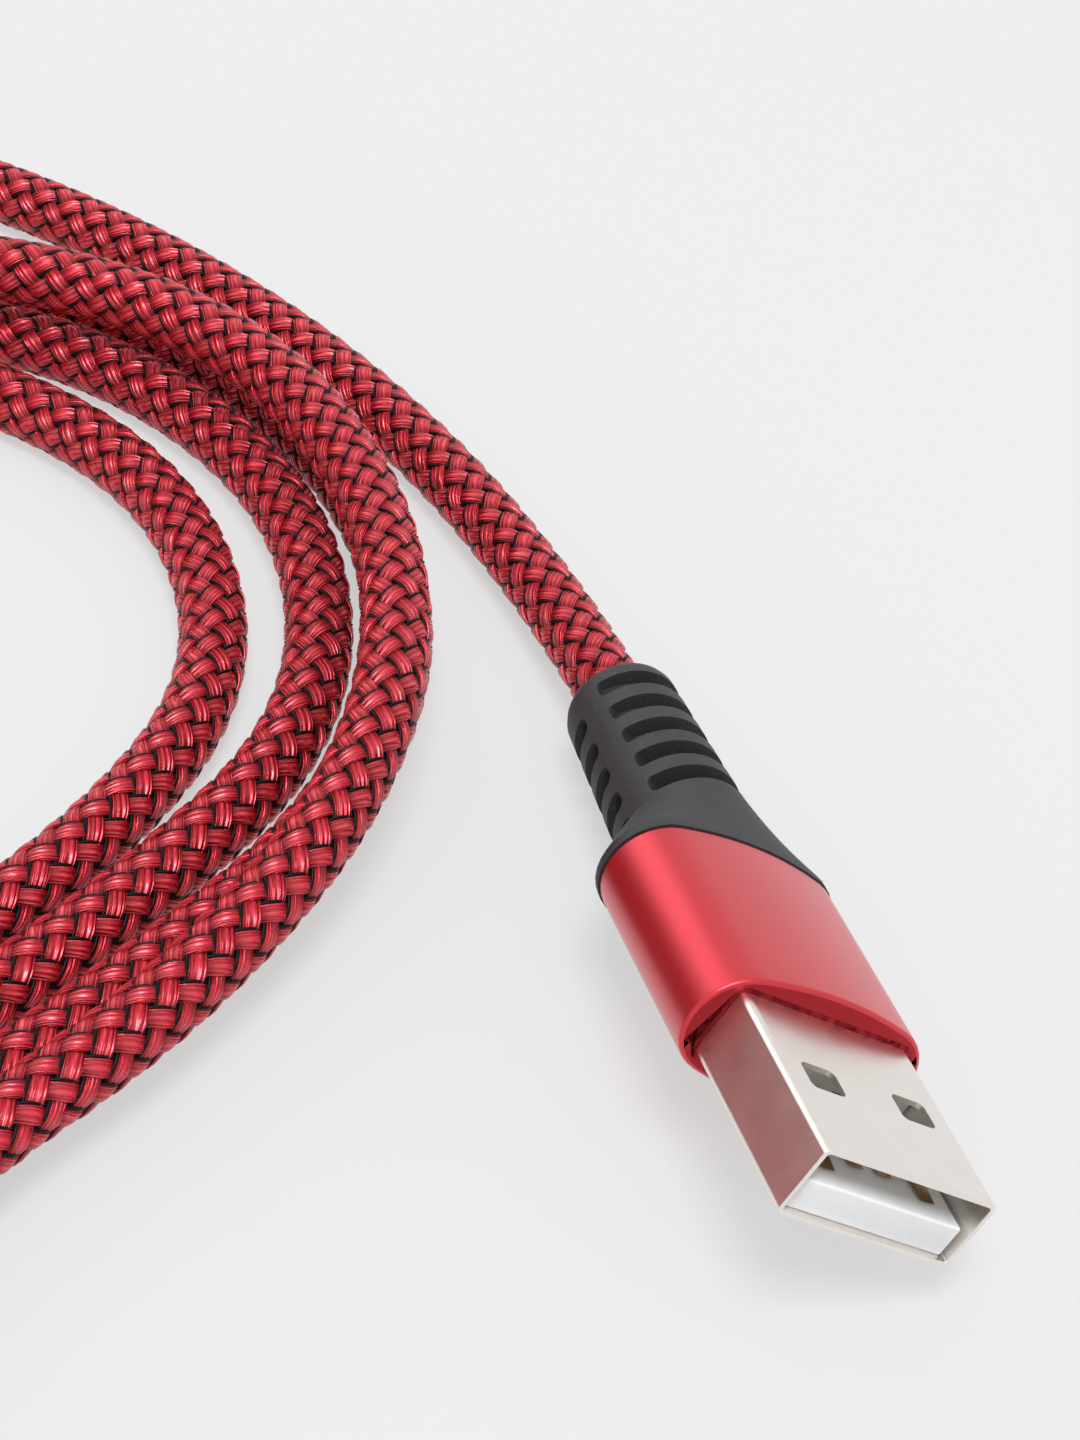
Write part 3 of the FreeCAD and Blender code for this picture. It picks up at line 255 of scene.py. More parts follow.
class Finish:
    """A material and the nodes that make it."""

    def __init__(self, name):
        self.material = bpy.data.materials.get(name) or bpy.data.materials.new(name)
        self.material.use_nodes = True
        self.tree = self.material.node_tree
        self.tree.nodes.clear()
        output = self.tree.nodes.new("ShaderNodeOutputMaterial")
        self.surface = self.tree.nodes.new("ShaderNodeBsdfPrincipled")
        self.tree.links.new(self.surface.outputs["BSDF"], output.inputs["Surface"])

    def node(self, kind, settings=None, inputs=None):
        """Adds a node: its settings first, then the values or links of its sockets."""
        node = self.tree.nodes.new("ShaderNode" + kind)
        for name, value in (settings or {}).items():
            setattr(node, name, value)
        for name, value in (inputs or {}).items():
            self.feed(node.inputs[name], value)
        return node

    def feed(self, socket, value):
        """Links a signal or a socket, or types a value in."""
        if isinstance(value, Signal):
            self.tree.links.new(value.socket, socket)
        elif isinstance(value, bpy.types.NodeSocket):
            self.tree.links.new(value, socket)
        elif socket.type == "RGBA" and hasattr(value, "__len__") and len(value) == 3:
            socket.default_value = (*value, 1.0)
        else:
            socket.default_value = value

    def signal(self, node, output):
        return Signal(self, node.outputs[output])

    def math(self, operation, *values):
        node = self.node("Math", {"operation": operation})
        for socket, value in zip(node.inputs, values):
            self.feed(socket, value)
        return Signal(self, node.outputs[0])

    def places(self):
        """Object coordinates, in metres."""
        return self.node("TexCoord").outputs["Object"]

    def attribute(self, name):
        """A number that the mesh carries from point to point."""
        return self.signal(self.node("Attribute", {"attribute_name": name}), "Fac")

    def noise(self, vector, scale, detail=3.0, roughness=0.55):
        node = self.node(
            "TexNoise", {},
            {"Vector": vector, "Scale": scale, "Detail": detail, "Roughness": roughness},
        )
        return self.signal(node, "Fac")

    def mix(self, factor, first, second):
        """A colour between two colours."""
        node = self.node("Mix", {"data_type": "RGBA"})
        self.feed(node.inputs[0], factor)
        self.feed(node.inputs[6], first)
        self.feed(node.inputs[7], second)
        return node.outputs[2]

    def bump(self, height, distance, strength=1.0):
        node = self.node(
            "Bump", {}, {"Height": height, "Distance": distance, "Strength": strength}
        )
        return node.outputs["Normal"]

    def set(self, **inputs):
        """Feeds the surface's sockets by name and gives the material back."""
        for name, value in inputs.items():
            self.feed(self.surface.inputs[name.replace("_", " ")], value)
        return self.material


def shade_of(tone, factor):
    """The tone made darker or lighter."""
    return tuple(min(1.0, channel * factor) for channel in tone)


def braid_red(scene):
    """Glossy filaments: ridges along each bundle, a painted highlight past each crest, and
    painted shade in the furrows, at the edges and where a bundle dives.
    """
    red = tuple(scene.cable_cord.red)
    f = Finish("braid_red")
    uv = f.node("UVMap", {"uv_map": "Strand"})
    parts = f.node("SeparateXYZ", {}, {"Vector": uv.outputs["UV"]})
    along = f.signal(parts, "X")
    across = f.signal(parts, "Y")
    yarn = f.attribute("yarn")
    lift = f.attribute("lift")
    glow = f.attribute("glow")

    def lanes(per_metre, per_width, per_yarn):
        places = {"X": along * per_metre, "Y": across * per_width, "Z": yarn * per_yarn}
        return f.node("CombineXYZ", {}, places).outputs["Vector"]

    fibre = f.noise(lanes(700.0, 8.0, 31.0), scale=1.0, detail=3.0, roughness=0.6)
    wide_lanes = lanes(300.0, 3.0, 17.0)
    bundle = f.noise(wide_lanes, scale=1.0, detail=2.0, roughness=0.5)
    sway = f.noise(wide_lanes, scale=0.6, detail=1.0) - 0.5
    turns = across * RIDGES + sway * 1.6
    ridge = (turns * (2.0 * math.pi)).math("SINE") * 0.5 + 0.5
    painted_furrow_shade = (1.0 - ridge) ** 2.0
    edge = (across - 0.5).math("ABSOLUTE") * 2.0
    # Painted highlight: a pale red sheen painted into the colour a little past each bundle's
    # crest, broken up by the fibres.
    light = ((fibre - 0.5) * 5.0).math("MAXIMUM", 0.0).math("MINIMUM", 1.0)
    painted_highlight_mask = (glow ** 2.0) * (light * 0.5 + 0.4)
    painted_highlight_tone = (1.0, red[1] * 8.0, red[2] * 4.0)
    tone = f.mix(bundle, shade_of(red, 0.6), shade_of(red, 1.3))
    tone = f.mix(painted_highlight_mask, tone, painted_highlight_tone)
    # Painted shade: darker in the furrows between filament ridges, at the bundle's edges, and
    # where it dives under the bundles of the other way.
    tone = f.mix(painted_furrow_shade * 0.6, tone, shade_of(red, 0.22))
    tone = f.mix(edge ** 6.0 * 0.75, tone, shade_of(red, 0.12))
    tone = f.mix((1.0 - lift) * 0.96, tone, shade_of(red, 0.05))
    f.set(
        Base_Color=tone,
        Metallic=0.7,
        Roughness=fibre * 0.12 + 0.21,
        Normal=f.bump(ridge + fibre * 0.5, distance=0.08 * MM),
    )


def braid_thread(scene):
    """Smooth black thread."""
    black = tuple(scene.cable_cord.black)
    f = Finish("braid_thread")
    wear = f.noise(f.places(), scale=900.0, detail=2.0)
    f.set(
        Base_Color=f.mix(wear, shade_of(black, 0.4), black),
        Roughness=wear * 0.15 + 0.34,
        Specular_IOR_Level=0.14,
    )


def jacket_black(scene):
    """The dull jacket that shows between the bundles."""
    f = Finish("jacket_black")
    grain = f.noise(f.places(), scale=2500.0)
    f.set(
        Base_Color=f.mix(grain, (0.003, 0.001, 0.002), (0.009, 0.002, 0.003)),
        Roughness=0.8,
        Specular_IOR_Level=0.1,
        Normal=f.bump(grain, distance=0.03 * MM),
    )


def anodised_red(scene):
    """Blasted and dyed aluminium, with painted shade: darker and without coat where the mesh
    marks it, in the bore and less so on the front face.
    """
    red = tuple(scene.cable_finish.housing_red)
    f = Finish("anodised_red")
    vector = f.places()
    blast = f.noise(vector, scale=9000.0, detail=2.0)
    drift = f.noise(vector, scale=120.0, detail=2.0)
    bare = f.attribute("bare")
    tone = f.mix(drift, shade_of(red, 0.93), shade_of(red, 1.06))
    f.set(
        # Painted shade: near black on the bore's walls and darker on the front face, both
        # without coat.
        Base_Color=f.mix(bare, tone, shade_of(red, 0.01)),
        Metallic=0.85,
        Roughness=blast * 0.1 + 0.32,
        Coat_Weight=(1.0 - bare * 1.9).math("MAXIMUM", 0.0),
        Coat_IOR=1.5,
        Coat_Roughness=0.38,
        Normal=f.bump(blast, distance=0.012 * MM, strength=0.6),
    )


def relief_rubber(scene):
    """Matt rubber with a faint cloud and pale dust specks."""
    grey = tuple(scene.cable_finish.relief_grey)
    f = Finish("relief_rubber")
    vector = f.places()
    grain = f.noise(vector, scale=5200.0, detail=4.0, roughness=0.65)
    patch = f.noise(vector, scale=260.0)
    dust = f.noise(vector, scale=11000.0, detail=2.0)
    speck = ((dust - 0.62).math("MAXIMUM", 0.0) * 7.0).math("MINIMUM", 1.0)
    tone = f.mix(patch, shade_of(grey, 0.85), shade_of(grey, 1.3))
    f.set(
        Base_Color=f.mix(speck * 0.7, tone, shade_of(grey, 7.0)),
        Roughness=grain * 0.16 + 0.5,
        Normal=f.bump(grain + patch * 0.3, distance=0.02 * MM, strength=0.8),
    )


def plated_steel(scene):
    """Nickel over drawn steel, with a slight haze."""
    plate = tuple(scene.cable_finish.plate)
    f = Finish("plated_steel")
    vector = f.places()
    drawn = f.node("Mapping", {}, {"Vector": vector, "Scale": (1.0, 0.06, 1.0)})
    brushed = f.noise(drawn.outputs["Vector"], scale=5200.0)
    haze = f.noise(vector, scale=420.0, detail=4.0, roughness=0.7)
    f.set(
        Base_Color=f.mix(haze, shade_of(plate, 0.92), shade_of(plate, 1.04)),
        Metallic=1.0,
        Roughness=haze * 0.12 + 0.24 + brushed * 0.05,
        Normal=f.bump(brushed, distance=0.003 * MM, strength=0.5),
    )


def plain_finishes(scene):
    """Finishes with one tone under a faint cloud: name, tone, metal, roughness, cloud scale."""
    tones = scene.cable_finish
    for name, tone, metal, rough, scale in (
        ("spring_steel", shade_of(tones.plate, 0.8), 1.0, 0.3, 3000.0),
        ("gold_contacts", tuple(tones.gold), 1.0, 0.2, 3500.0),
        ("white_plastic", tuple(tones.white), 0.0, 0.32, 1400.0),
        ("black_plastic", (0.02, 0.02, 0.022), 0.0, 0.42, 1800.0),
        ("circuit_board", (0.02, 0.17, 0.07), 0.0, 0.35, 1600.0),
        ("wire_red", (0.55, 0.02, 0.02), 0.0, 0.35, 1200.0),
        ("wire_white", (0.8, 0.8, 0.8), 0.0, 0.35, 1200.0),
        ("wire_green", (0.03, 0.3, 0.06), 0.0, 0.35, 1200.0),
        ("wire_black", (0.015, 0.015, 0.015), 0.0, 0.35, 1200.0),
    ):
        f = Finish(name)
        cloud = f.noise(f.places(), scale)
        f.set(
            Base_Color=f.mix(cloud, shade_of(tone, 0.94), shade_of(tone, 1.05)),
            Metallic=metal,
            Roughness=cloud * 0.08 + rough,
            Normal=f.bump(cloud, distance=0.004 * MM, strength=0.5),
        )


def make_finishes(scene):
    """Every material of the cable."""
    for make in (braid_red, braid_thread, jacket_black, anodised_red, relief_rubber,
                 plated_steel, plain_finishes):
        make(scene)


def finish(name):
    """A material by name, made with the others when the first one is asked for."""
    if name not in bpy.data.materials:
        make_finishes(bpy.context.scene)
    return bpy.data.materials[name]


def place_of(plug):
    """The matrix from a plug's own axes to the part's axes."""
    end, turn = (PLUG_A_END, PLUG_A_TURN) if plug == "a" else (PLUG_C_END, PLUG_C_TURN)
    return Matrix.Translation(end) @ turn


def settings_of(plug):
    """The sizes that a user sets for a plug."""
    scene = bpy.context.scene
    return scene.cable_usb_a if plug == "a" else scene.cable_usb_c


def tip_of(size):
    """How far a plug's tip is from the cord's end of its relief."""
    return size.relief_long + size.house_long + size.shell_out


def add_object(name, mesh):
    """A new object for a mesh, or for a curve, in the scene."""
    thing = bpy.data.objects.new(name, mesh)
    bpy.context.scene.collection.objects.link(thing)
    return thing


def mesh_of(name, bm):
    """A new mesh that takes the bmesh over."""
    mesh = bpy.data.meshes.new(name)
    bm.to_mesh(mesh)
    bm.free()
    return mesh


def dress(piece, material):
    """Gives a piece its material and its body."""
    piece.data.materials.append(finish(material))
    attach(piece, "root")


def add_piece(name, bm, material, replaces, place=None):
    """Turns a bmesh into a finished piece that rides with the cable."""
    bmesh.ops.remove_doubles(bm, verts=bm.verts, dist=1e-7)
    bmesh.ops.recalc_face_normals(bm, faces=bm.faces)
    if place is not None:
        bmesh.ops.transform(bm, matrix=place, verts=bm.verts)
    for face in bm.faces:
        face.smooth = True
    piece = add_object(name, mesh_of(name, bm))
    dress(piece, material)
    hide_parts(*replaces)
    return piece


def round_edges(piece, width, segments, angle):
    """A live bevel on the piece's edges that are sharper than the angle."""
    if not bpy.context.scene.cable_finish.soft_edges:
        return
    bevel = piece.modifiers.new("edges", "BEVEL")
    bevel.width = width
    bevel.segments = segments
    bevel.limit_method = "ANGLE"
    bevel.angle_limit = math.radians(angle)
    bevel.use_clamp_overlap = True
    bevel.harden_normals = True


def flat_shading(piece, angle=40.0):
    """Keeps flat faces flat and sharp edges sharp in the piece's shading."""
    piece.data.set_sharp_from_angle(angle=math.radians(angle))
    weighted = piece.modifiers.new("shading", "WEIGHTED_NORMAL")
    weighted.keep_sharp = True


def cutter_object(bm):
    """A closed solid that a cut takes away."""
    bmesh.ops.recalc_face_normals(bm, faces=bm.faces)
    return add_object("cutter", mesh_of("cutter", bm))


def cut_out(piece, cutters):
    """Takes closed cutters out of a piece and keeps the result as its mesh."""
    for cutter in cutters:
        cut = piece.modifiers.new("cut", "BOOLEAN")
        cut.operation = "DIFFERENCE"
        cut.solver = "MANIFOLD"
        cut.object = cutter
    graph = bpy.context.evaluated_depsgraph_get()
    graph.update()
    result = bpy.data.meshes.new_from_object(piece.evaluated_get(graph))
    piece.modifiers.clear()
    whole = piece.data
    piece.data = result
    bpy.data.meshes.remove(whole)
    for cutter in cutters:
        bpy.data.objects.remove(cutter, do_unlink=True)
    bm = bmesh.new()
    bm.from_mesh(result)
    bmesh.ops.remove_doubles(bm, verts=bm.verts, dist=2e-6)
    bmesh.ops.dissolve_limit(
        bm, angle_limit=math.radians(0.6), verts=bm.verts, edges=bm.edges
    )
    for face in bm.faces:
        face.smooth = True
    bm.to_mesh(result)
    bm.free()


def arc_points(centre, radius, first, last, steps):
    """Points along an arc, without its last one."""
    points = []
    for step in range(steps):
        angle = first + (last - first) * step / steps
        points.append((centre[0] + radius * math.cos(angle),
                       centre[1] + radius * math.sin(angle)))
    return points


def oval_points(wide, tall, side):
    """Round sides under a gently crowned top and base, as tangent arcs."""
    reach = wide / 2 - side
    rise = tall / 2
    bulge = max(rise - side, 1e-6)
    crown = (reach ** 2 + rise ** 2 - side ** 2) / (2 * bulge)
    drop = crown - rise
    lean = math.atan2(reach, drop)
    quarter = math.pi / 2
    turn = quarter - lean
    points = arc_points((reach, 0), side, -turn, turn, SIDE_STEPS)
    points += arc_points((0, -drop), crown, turn, quarter + lean, CROWN_STEPS)
    points += arc_points((-reach, 0), side, math.pi - turn, math.pi + turn, SIDE_STEPS)
    points += arc_points((0, drop), crown, 3 * quarter - lean, 3 * quarter + lean, CROWN_STEPS)
    return points


def round_points(diameter, turn=0.75):
    """A circle with its points shared out as on the oval."""
    half = math.pi / 2
    points = []
    for quarter, steps in enumerate((SIDE_STEPS, CROWN_STEPS, SIDE_STEPS, CROWN_STEPS)):
        reach = turn if quarter % 2 == 0 else half - turn
        middle = quarter * half
        points += arc_points((0, 0), diameter / 2, middle - reach, middle + reach, steps)
    return points


def box_points(wide, tall, corner):
    """A rounded rectangle with its points shared out as on the oval."""
    x = wide / 2 - corner
    y = tall / 2 - corner
    half = math.pi / 2
    corner_steps = SIDE_STEPS // 2
    points = arc_points((x, -y), corner, -half, 0, corner_steps)
    points += arc_points((x, y), corner, 0, half, corner_steps)
    for step in range(CROWN_STEPS):
        points.append((x - 2 * x * step / CROWN_STEPS, tall / 2))
    points += arc_points((-x, y), corner, half, 2 * half, corner_steps)
    points += arc_points((-x, -y), corner, 2 * half, 3 * half, corner_steps)
    for step in range(CROWN_STEPS):
        points.append((-x + 2 * x * step / CROWN_STEPS, -tall / 2))
    return points


def blend_outline(first, second, share):
    """An outline that lies the given share of the way between two others."""
    return [
        (a[0] + (b[0] - a[0]) * share, a[1] + (b[1] - a[1]) * share)
        for a, b in zip(first, second)
    ]


def add_ring(bm, outline, z):
    """A closed ring of edges that follows an outline at a height."""
    made = bmesh.ops.create_circle(bm, segments=len(outline), radius=1.0)["verts"]
    for vert, (x, y) in zip(made, outline):
        vert.co = (x, y, z)
    return list({edge for vert in made for edge in vert.link_edges})


def stack_rings(bm, rings, close=False):
    """Bridges each ring to the next; close joins the last to the first, or else caps both."""
    loops = [add_ring(bm, outline, z) for outline, z in rings]
    pairs = list(zip(loops, loops[1:]))
    if close:
        pairs.append((loops[-1], loops[0]))
    for first, second in pairs:
        bmesh.ops.bridge_loops(bm, edges=first + second)
    if not close:
        for edges in (loops[0], loops[-1]):
            bmesh.ops.contextual_create(bm, geom=edges)


def quarter_round(edge, count):
    """How deep a rounded edge lies within the side and the face, from the side on."""
    for step in range(count + 1):
        angle = math.pi / 2 * step / count
        yield edge * (1 - math.cos(angle)), edge * (1 - math.sin(angle))


def slot_cutter(facing, span, low):
    """A slot that runs part of the way round the relief, with rounded ends."""
    inner = SLOT_FLOOR
    outer = 9.0 * MM
    high = low + SLOT_WIDE
    start = math.radians(facing - span / 2)
    sweep = math.radians(span)
    bm = bmesh.new()
    section = [(inner, low), (outer, low), (outer, high), (inner, high)]
    verts = [bm.verts.new((reach, 0.0, z)) for reach, z in section]
    face = bm.faces.new(verts)
    bmesh.ops.rotate(bm, verts=bm.verts, cent=(0, 0, 0), matrix=Matrix.Rotation(start, 3, "Z"))
    bmesh.ops.spin(
        bm, geom=verts + list(face.edges) + [face], cent=(0, 0, 0), axis=(0, 0, 1),
        angle=sweep, steps=16, use_merge=False, use_duplicate=False,
    )
    ends = []
    for edge in bm.edges:
        first, second = (vert.co for vert in edge.verts)
        run = abs(math.hypot(first.x, first.y) - math.hypot(second.x, second.y))
        angle = math.atan2(first.y, first.x)
        from_ends = [abs((angle - limit + math.pi) % (2 * math.pi) - math.pi)
                     for limit in (start, start + sweep)]
        if run > (outer - inner) * 0.9 and min(from_ends) < 1e-3 and len(edge.link_faces) == 2:
            ends.append(edge)
    bmesh.ops.bevel(
        bm, geom=ends, offset=0.62 * MM, offset_type="OFFSET", segments=5, profile=0.5,
        affect="EDGES", material=-1, clamp_overlap=True,
    )
    return cutter_object(bm)


def make_relief(plug, node):
    """The ribbed rubber boot, round at the cord and oval at the housing."""
    size = settings_of(plug)
    long = size.relief_long
    waist = size.waist_at
    thin = 7.0 * MM
    thick = 8.0 * MM
    proud = 0.08 * MM
    lip = 0.75 * MM
    shoulder = long - 0.5 * MM
    bore = round_points(4.52 * MM)
    rings = [(bore, 3.2 * MM), (bore, 0.35 * MM)]
    for inset, z in ((0.7, 0.0), (0.4, 0.08), (0.15, 0.3), (0.0, 0.75)):
        rings.append((round_points(thin - 2 * inset * MM), z * MM))
    for step in range(1, 7):
        share = step / 6
        rings.append((round_points(thin + (thick - thin) * share), lip + (waist - lip) * share))
    neck = round_points(thick)
    full = oval_points(size.house_wide + 2 * proud, size.house_tall + 2 * proud,
                       size.house_side + proud)
    for step in range(1, 13):
        share = step / 12
        rings.append((blend_outline(neck, full, share), waist + (shoulder - waist) * share))
    rings.append((full, long))
    lean = RELIEF_LEAN if plug == "a" else Vector((0.0, 0.0))
    leaning = []
    for outline, z in rings:
        aside = lean * (1 - z / long)
        leaning.append(([(x + aside.x, y + aside.y) for x, y in outline], z))
    bm = bmesh.new()
    stack_rings(bm, leaning)
    piece = add_piece("usb_%s_relief_skin" % plug, bm, "relief_rubber", (node,))
    cutters = []
    for number in range(size.slot_count):
        for facing, span, first in SLOT_ROWS:
            cutters.append(slot_cutter(facing, span, first * MM + SLOT_PITCH * number))
    cut_out(piece, cutters)
    piece.data.transform(place_of(plug))
    round_edges(piece, 0.16 * MM, segments=3, angle=38.0)
    flat_shading(piece)


def mark_painted_shade(bm, front, long):
    """Says where a housing gets painted shade: on the bore's walls, and less so on the front
    face.
    """
    bare = bm.loops.layers.float.new("bare")
    for face in bm.faces:
        heights = [vert.co.z for vert in face.verts]
        amount = 0.0
        if max(heights) - min(heights) > long:
            amount = 1.0
        elif min(heights) > front - 1e-6:
            amount = 0.4
        for loop in face.loops:
            loop[bare] = amount


def make_housing(plug, node):
    """The red sleeve, with a flat front face round the metal shell."""
    size = settings_of(plug)
    start = size.relief_long
    front = start + size.house_long
    gap = 0.32 * MM
    edge = 0.24 * MM
    runs = 7
    mouth = box_points(size.shell_wide + 2 * gap, size.shell_tall + 2 * gap,
                       size.shell_round + gap)

    def skin(inset):
        return oval_points(size.house_wide - 2 * inset, size.house_tall - 2 * inset,
                           size.house_side - inset)

    rings = [(skin(0.8 * MM), start)]
    corner = list(quarter_round(edge, 4))
    # The back edge takes the same steps from the face to the side.
    rings += [(skin(inset), start + depth) for depth, inset in corner]
    for step in range(1, runs + 1):
        rings.append((skin(0.0), start + edge + (size.house_long - 2 * edge) * step / runs))
    rings += [(skin(inset), front - depth) for inset, depth in corner[1:]]
    rings += [(mouth, front), (mouth, front - size.shell_in * 0.98)]
    bm = bmesh.new()
    stack_rings(bm, rings, close=True)
    # Painted shade goes in the bore and on the front face.
    mark_painted_shade(bm, front, size.house_long * 0.3)
    piece = add_piece("usb_%s_housing_skin" % plug, bm, "anodised_red", (node,), place_of(plug))
    flat_shading(piece)


def window_cutter(place, wide, long):
    """A square window with rounded corners, through one wall of the shell."""
    bm = bmesh.new()
    made = bmesh.ops.create_cube(bm, size=1.0)["verts"]
    bmesh.ops.scale(bm, vec=(wide, 1.6 * MM, long), verts=made)
    upright = [edge for edge in bm.edges
               if abs(edge.verts[0].co.y - edge.verts[1].co.y) > 1.0 * MM]
    bmesh.ops.bevel(bm, geom=upright, offset=0.42 * MM, segments=5, profile=0.5,
                    affect="EDGES", material=-1)
    bmesh.ops.translate(bm, vec=place, verts=bm.verts)
    return cutter_object(bm)


def make_shell(plug, node, windows=()):
    """The folded metal shell, open at its tip."""
    size = settings_of(plug)
    back = size.relief_long + size.house_long - size.shell_in
    tip = tip_of(size)
    sheet = size.sheet
    lip = 0.09 * MM
    runs = 5

    def wall(inset):
        corner = max(size.shell_round - inset, 0.12 * MM)
        return box_points(size.shell_wide - 2 * inset, size.shell_tall - 2 * inset, corner)

    rings = [(wall(0.0), back)]
    for step in range(1, runs + 1):
        rings.append((wall(0.0), back + (tip - lip - back) * step / runs))
    rings += [
        (wall(lip * 0.3), tip - lip * 0.3),
        (wall(lip), tip),
        (wall(sheet - lip), tip),
        (wall(sheet - lip * 0.3), tip - lip * 0.3),
        (wall(sheet), tip - lip),
        (wall(sheet), back),
    ]
    bm = bmesh.new()
    stack_rings(bm, rings, close=True)
    piece = add_piece("usb_%s_shell_skin" % plug, bm, "plated_steel", (node,))
    if windows:
        cut_out(piece, [window_cutter(place, 2.4 * MM, 2.0 * MM) for place in windows])
    piece.data.transform(place_of(plug))
    flat_shading(piece)


def tongue_span(size):
    """Where the USB-A tongue's thin part starts and ends along the plug."""
    end = tip_of(size) - 0.4 * MM
    return end - 8.6 * MM, end


def make_a_tongue():
    """The white tongue with its thicker root."""
    size = settings_of("a")
    root, end = tongue_span(size)
    low = -(size.shell_tall / 2 - size.sheet)
    reach = size.shell_wide / 2 - size.sheet
    blade_reach = reach - 0.25 * MM
    root_reach = reach - 0.05 * MM
    bm = bmesh.new()
    for lows, highs in (
        (Vector((-blade_reach, low, root - 1.0 * MM)), Vector((blade_reach, 0.0, end))),
        (Vector((-root_reach, low, root - 5.0 * MM)),
         Vector((root_reach, -low - 0.02 * MM, root))),
    ):
        made = bmesh.ops.create_cube(bm, size=1.0)["verts"]
        bmesh.ops.scale(bm, vec=highs - lows, verts=made)
        bmesh.ops.translate(bm, vec=(lows + highs) / 2, verts=made)
        edges = list({edge for vert in made for edge in vert.link_edges})
        bmesh.ops.bevel(bm, geom=edges, offset=0.16 * MM, segments=4, profile=0.5,
                        affect="EDGES", material=-1)
    add_piece("usb_a_tongue_skin", bm, "white_plastic", ("usb_a_tongue",), place_of("a"))


def make_a_contacts():
    """Four gold strips on the tongue, each with a low crown near its front."""
    root, end = tongue_span(settings_of("a"))
    start = root - 6.6 * MM
    wide = 1.0 * MM
    crown_high = 0.1 * MM
    crown_at = 0.93
    for name, x, front in (("vbus", 3.5, 1.2), ("dminus", 1.0, 2.2),
                           ("dplus", -1.0, 2.2), ("gnd", -3.5, 1.2)):
        long = end - front * MM - start
        bm = bmesh.new()
        made = bmesh.ops.create_grid(bm, x_segments=2, y_segments=30, size=0.5)["verts"]
        for vert in made:
            share = vert.co.y + 0.5
            crown = crown_high * math.exp(-((share - crown_at) / 0.05) ** 2)
            vert.co = (x * MM + vert.co.x * wide, 0.14 * MM + crown, start + long * share)
        bmesh.ops.solidify(bm, geom=list(bm.faces), thickness=0.2 * MM)
        piece = add_piece("usb_a_contact_%s_skin" % name, bm, "gold_contacts",
                          ("usb_a_contact_" + name,), place_of("a"))
        round_edges(piece, 0.04 * MM, segments=2, angle=40.0)


def make_c_insulator():
    """The black core of the USB-C plug, with its slot."""
    size = settings_of("c")
    end = tip_of(size) - 0.3 * MM
    start = end - 7.8 * MM
    wide = size.shell_wide - 2 * size.sheet - 0.1 * MM
    tall = size.shell_tall - 2 * size.sheet - 0.05 * MM
    corner = tall / 2 - 0.03 * MM
    edge = 0.1 * MM
    outside = box_points(wide, tall, corner)
    eased = box_points(wide - 2 * edge, tall - 2 * edge, corner - edge)
    slot = box_points(7.2 * MM, 1.1 * MM, 0.2 * MM)
    bm = bmesh.new()
    stack_rings(bm, [
        (eased, start), (outside, start + edge), (outside, end - edge), (eased, end),
        (slot, end), (slot, end - 5.0 * MM),
    ])
    add_piece("usb_c_core_skin", bm, "black_plastic", ("usb_c_insulator",), place_of("c"))


def route_curve(name, steps):
    """The cord's route as a smooth spline with the route's points as control points."""
    data = bpy.data.curves.new(name, "CURVE")
    data.dimensions = "3D"
    data.resolution_u = steps
    spline = data.splines.new("NURBS")
    spline.points.add(len(CORD_ROUTE) - 1)
    for point, place in zip(spline.points, CORD_ROUTE):
        point.co = (*place, 1.0)
    spline.order_u = 3
    spline.use_endpoint_u = True
    return data


def route_line():
    """The cord's middle line, read from the route's spline."""
    carrier = add_object("route", route_curve("route", 24))
    mesh = bpy.data.meshes.new_from_object(carrier)
    line = np.array([vert.co[:] for vert in mesh.vertices])
    bpy.data.meshes.remove(mesh)
    bpy.data.objects.remove(carrier, do_unlink=True)
    return line


def even_line(line, step):
    """The line at even steps, with a frame that doesn't twist along it.

    Returns the points, how far along each one is, and two directions across the line.
    """
    parts = np.linalg.norm(np.diff(line, axis=0), axis=1)
    line = line[np.concatenate(([True], parts > 1e-9))]
    parts = np.linalg.norm(np.diff(line, axis=0), axis=1)
    along = np.concatenate(([0.0], np.cumsum(parts)))
    count = int(round(along[-1] / step))
    where = np.linspace(0.0, along[-1], count + 1)
    line = np.stack([np.interp(where, along, line[:, axis]) for axis in range(3)], axis=1)
    ways = np.gradient(line, axis=0)
    ways /= np.linalg.norm(ways, axis=1)[:, None]
    sides = np.zeros_like(line)
    side = np.array([0.0, 0.0, 1.0])
    for number, way in enumerate(ways):
        side = side - way * side.dot(way)
        side = side / np.linalg.norm(side)
        sides[number] = side
    return line, where, sides, np.cross(ways, sides)


def flat_strips(name, count, rows, across):
    """A mesh of flat strips with a Strand map, for the weave to bend."""
    bm = bmesh.new()
    bm.loops.layers.uv.new("Strand")
    for _ in range(count):
        bmesh.ops.create_grid(bm, x_segments=rows - 1, y_segments=across - 1, size=0.5,
                              calc_uvs=True)
    for face in bm.faces:
        face.smooth = True
    return mesh_of(name, bm)


def stretch_map(mesh, long):
    """Makes the Strand map run in metres along each strip."""
    layer = mesh.uv_layers["Strand"]
    values = np.zeros(len(mesh.loops) * 2)
    layer.data.foreach_get("uv", values)
    values[0::2] *= long
    layer.data.foreach_set("uv", values)


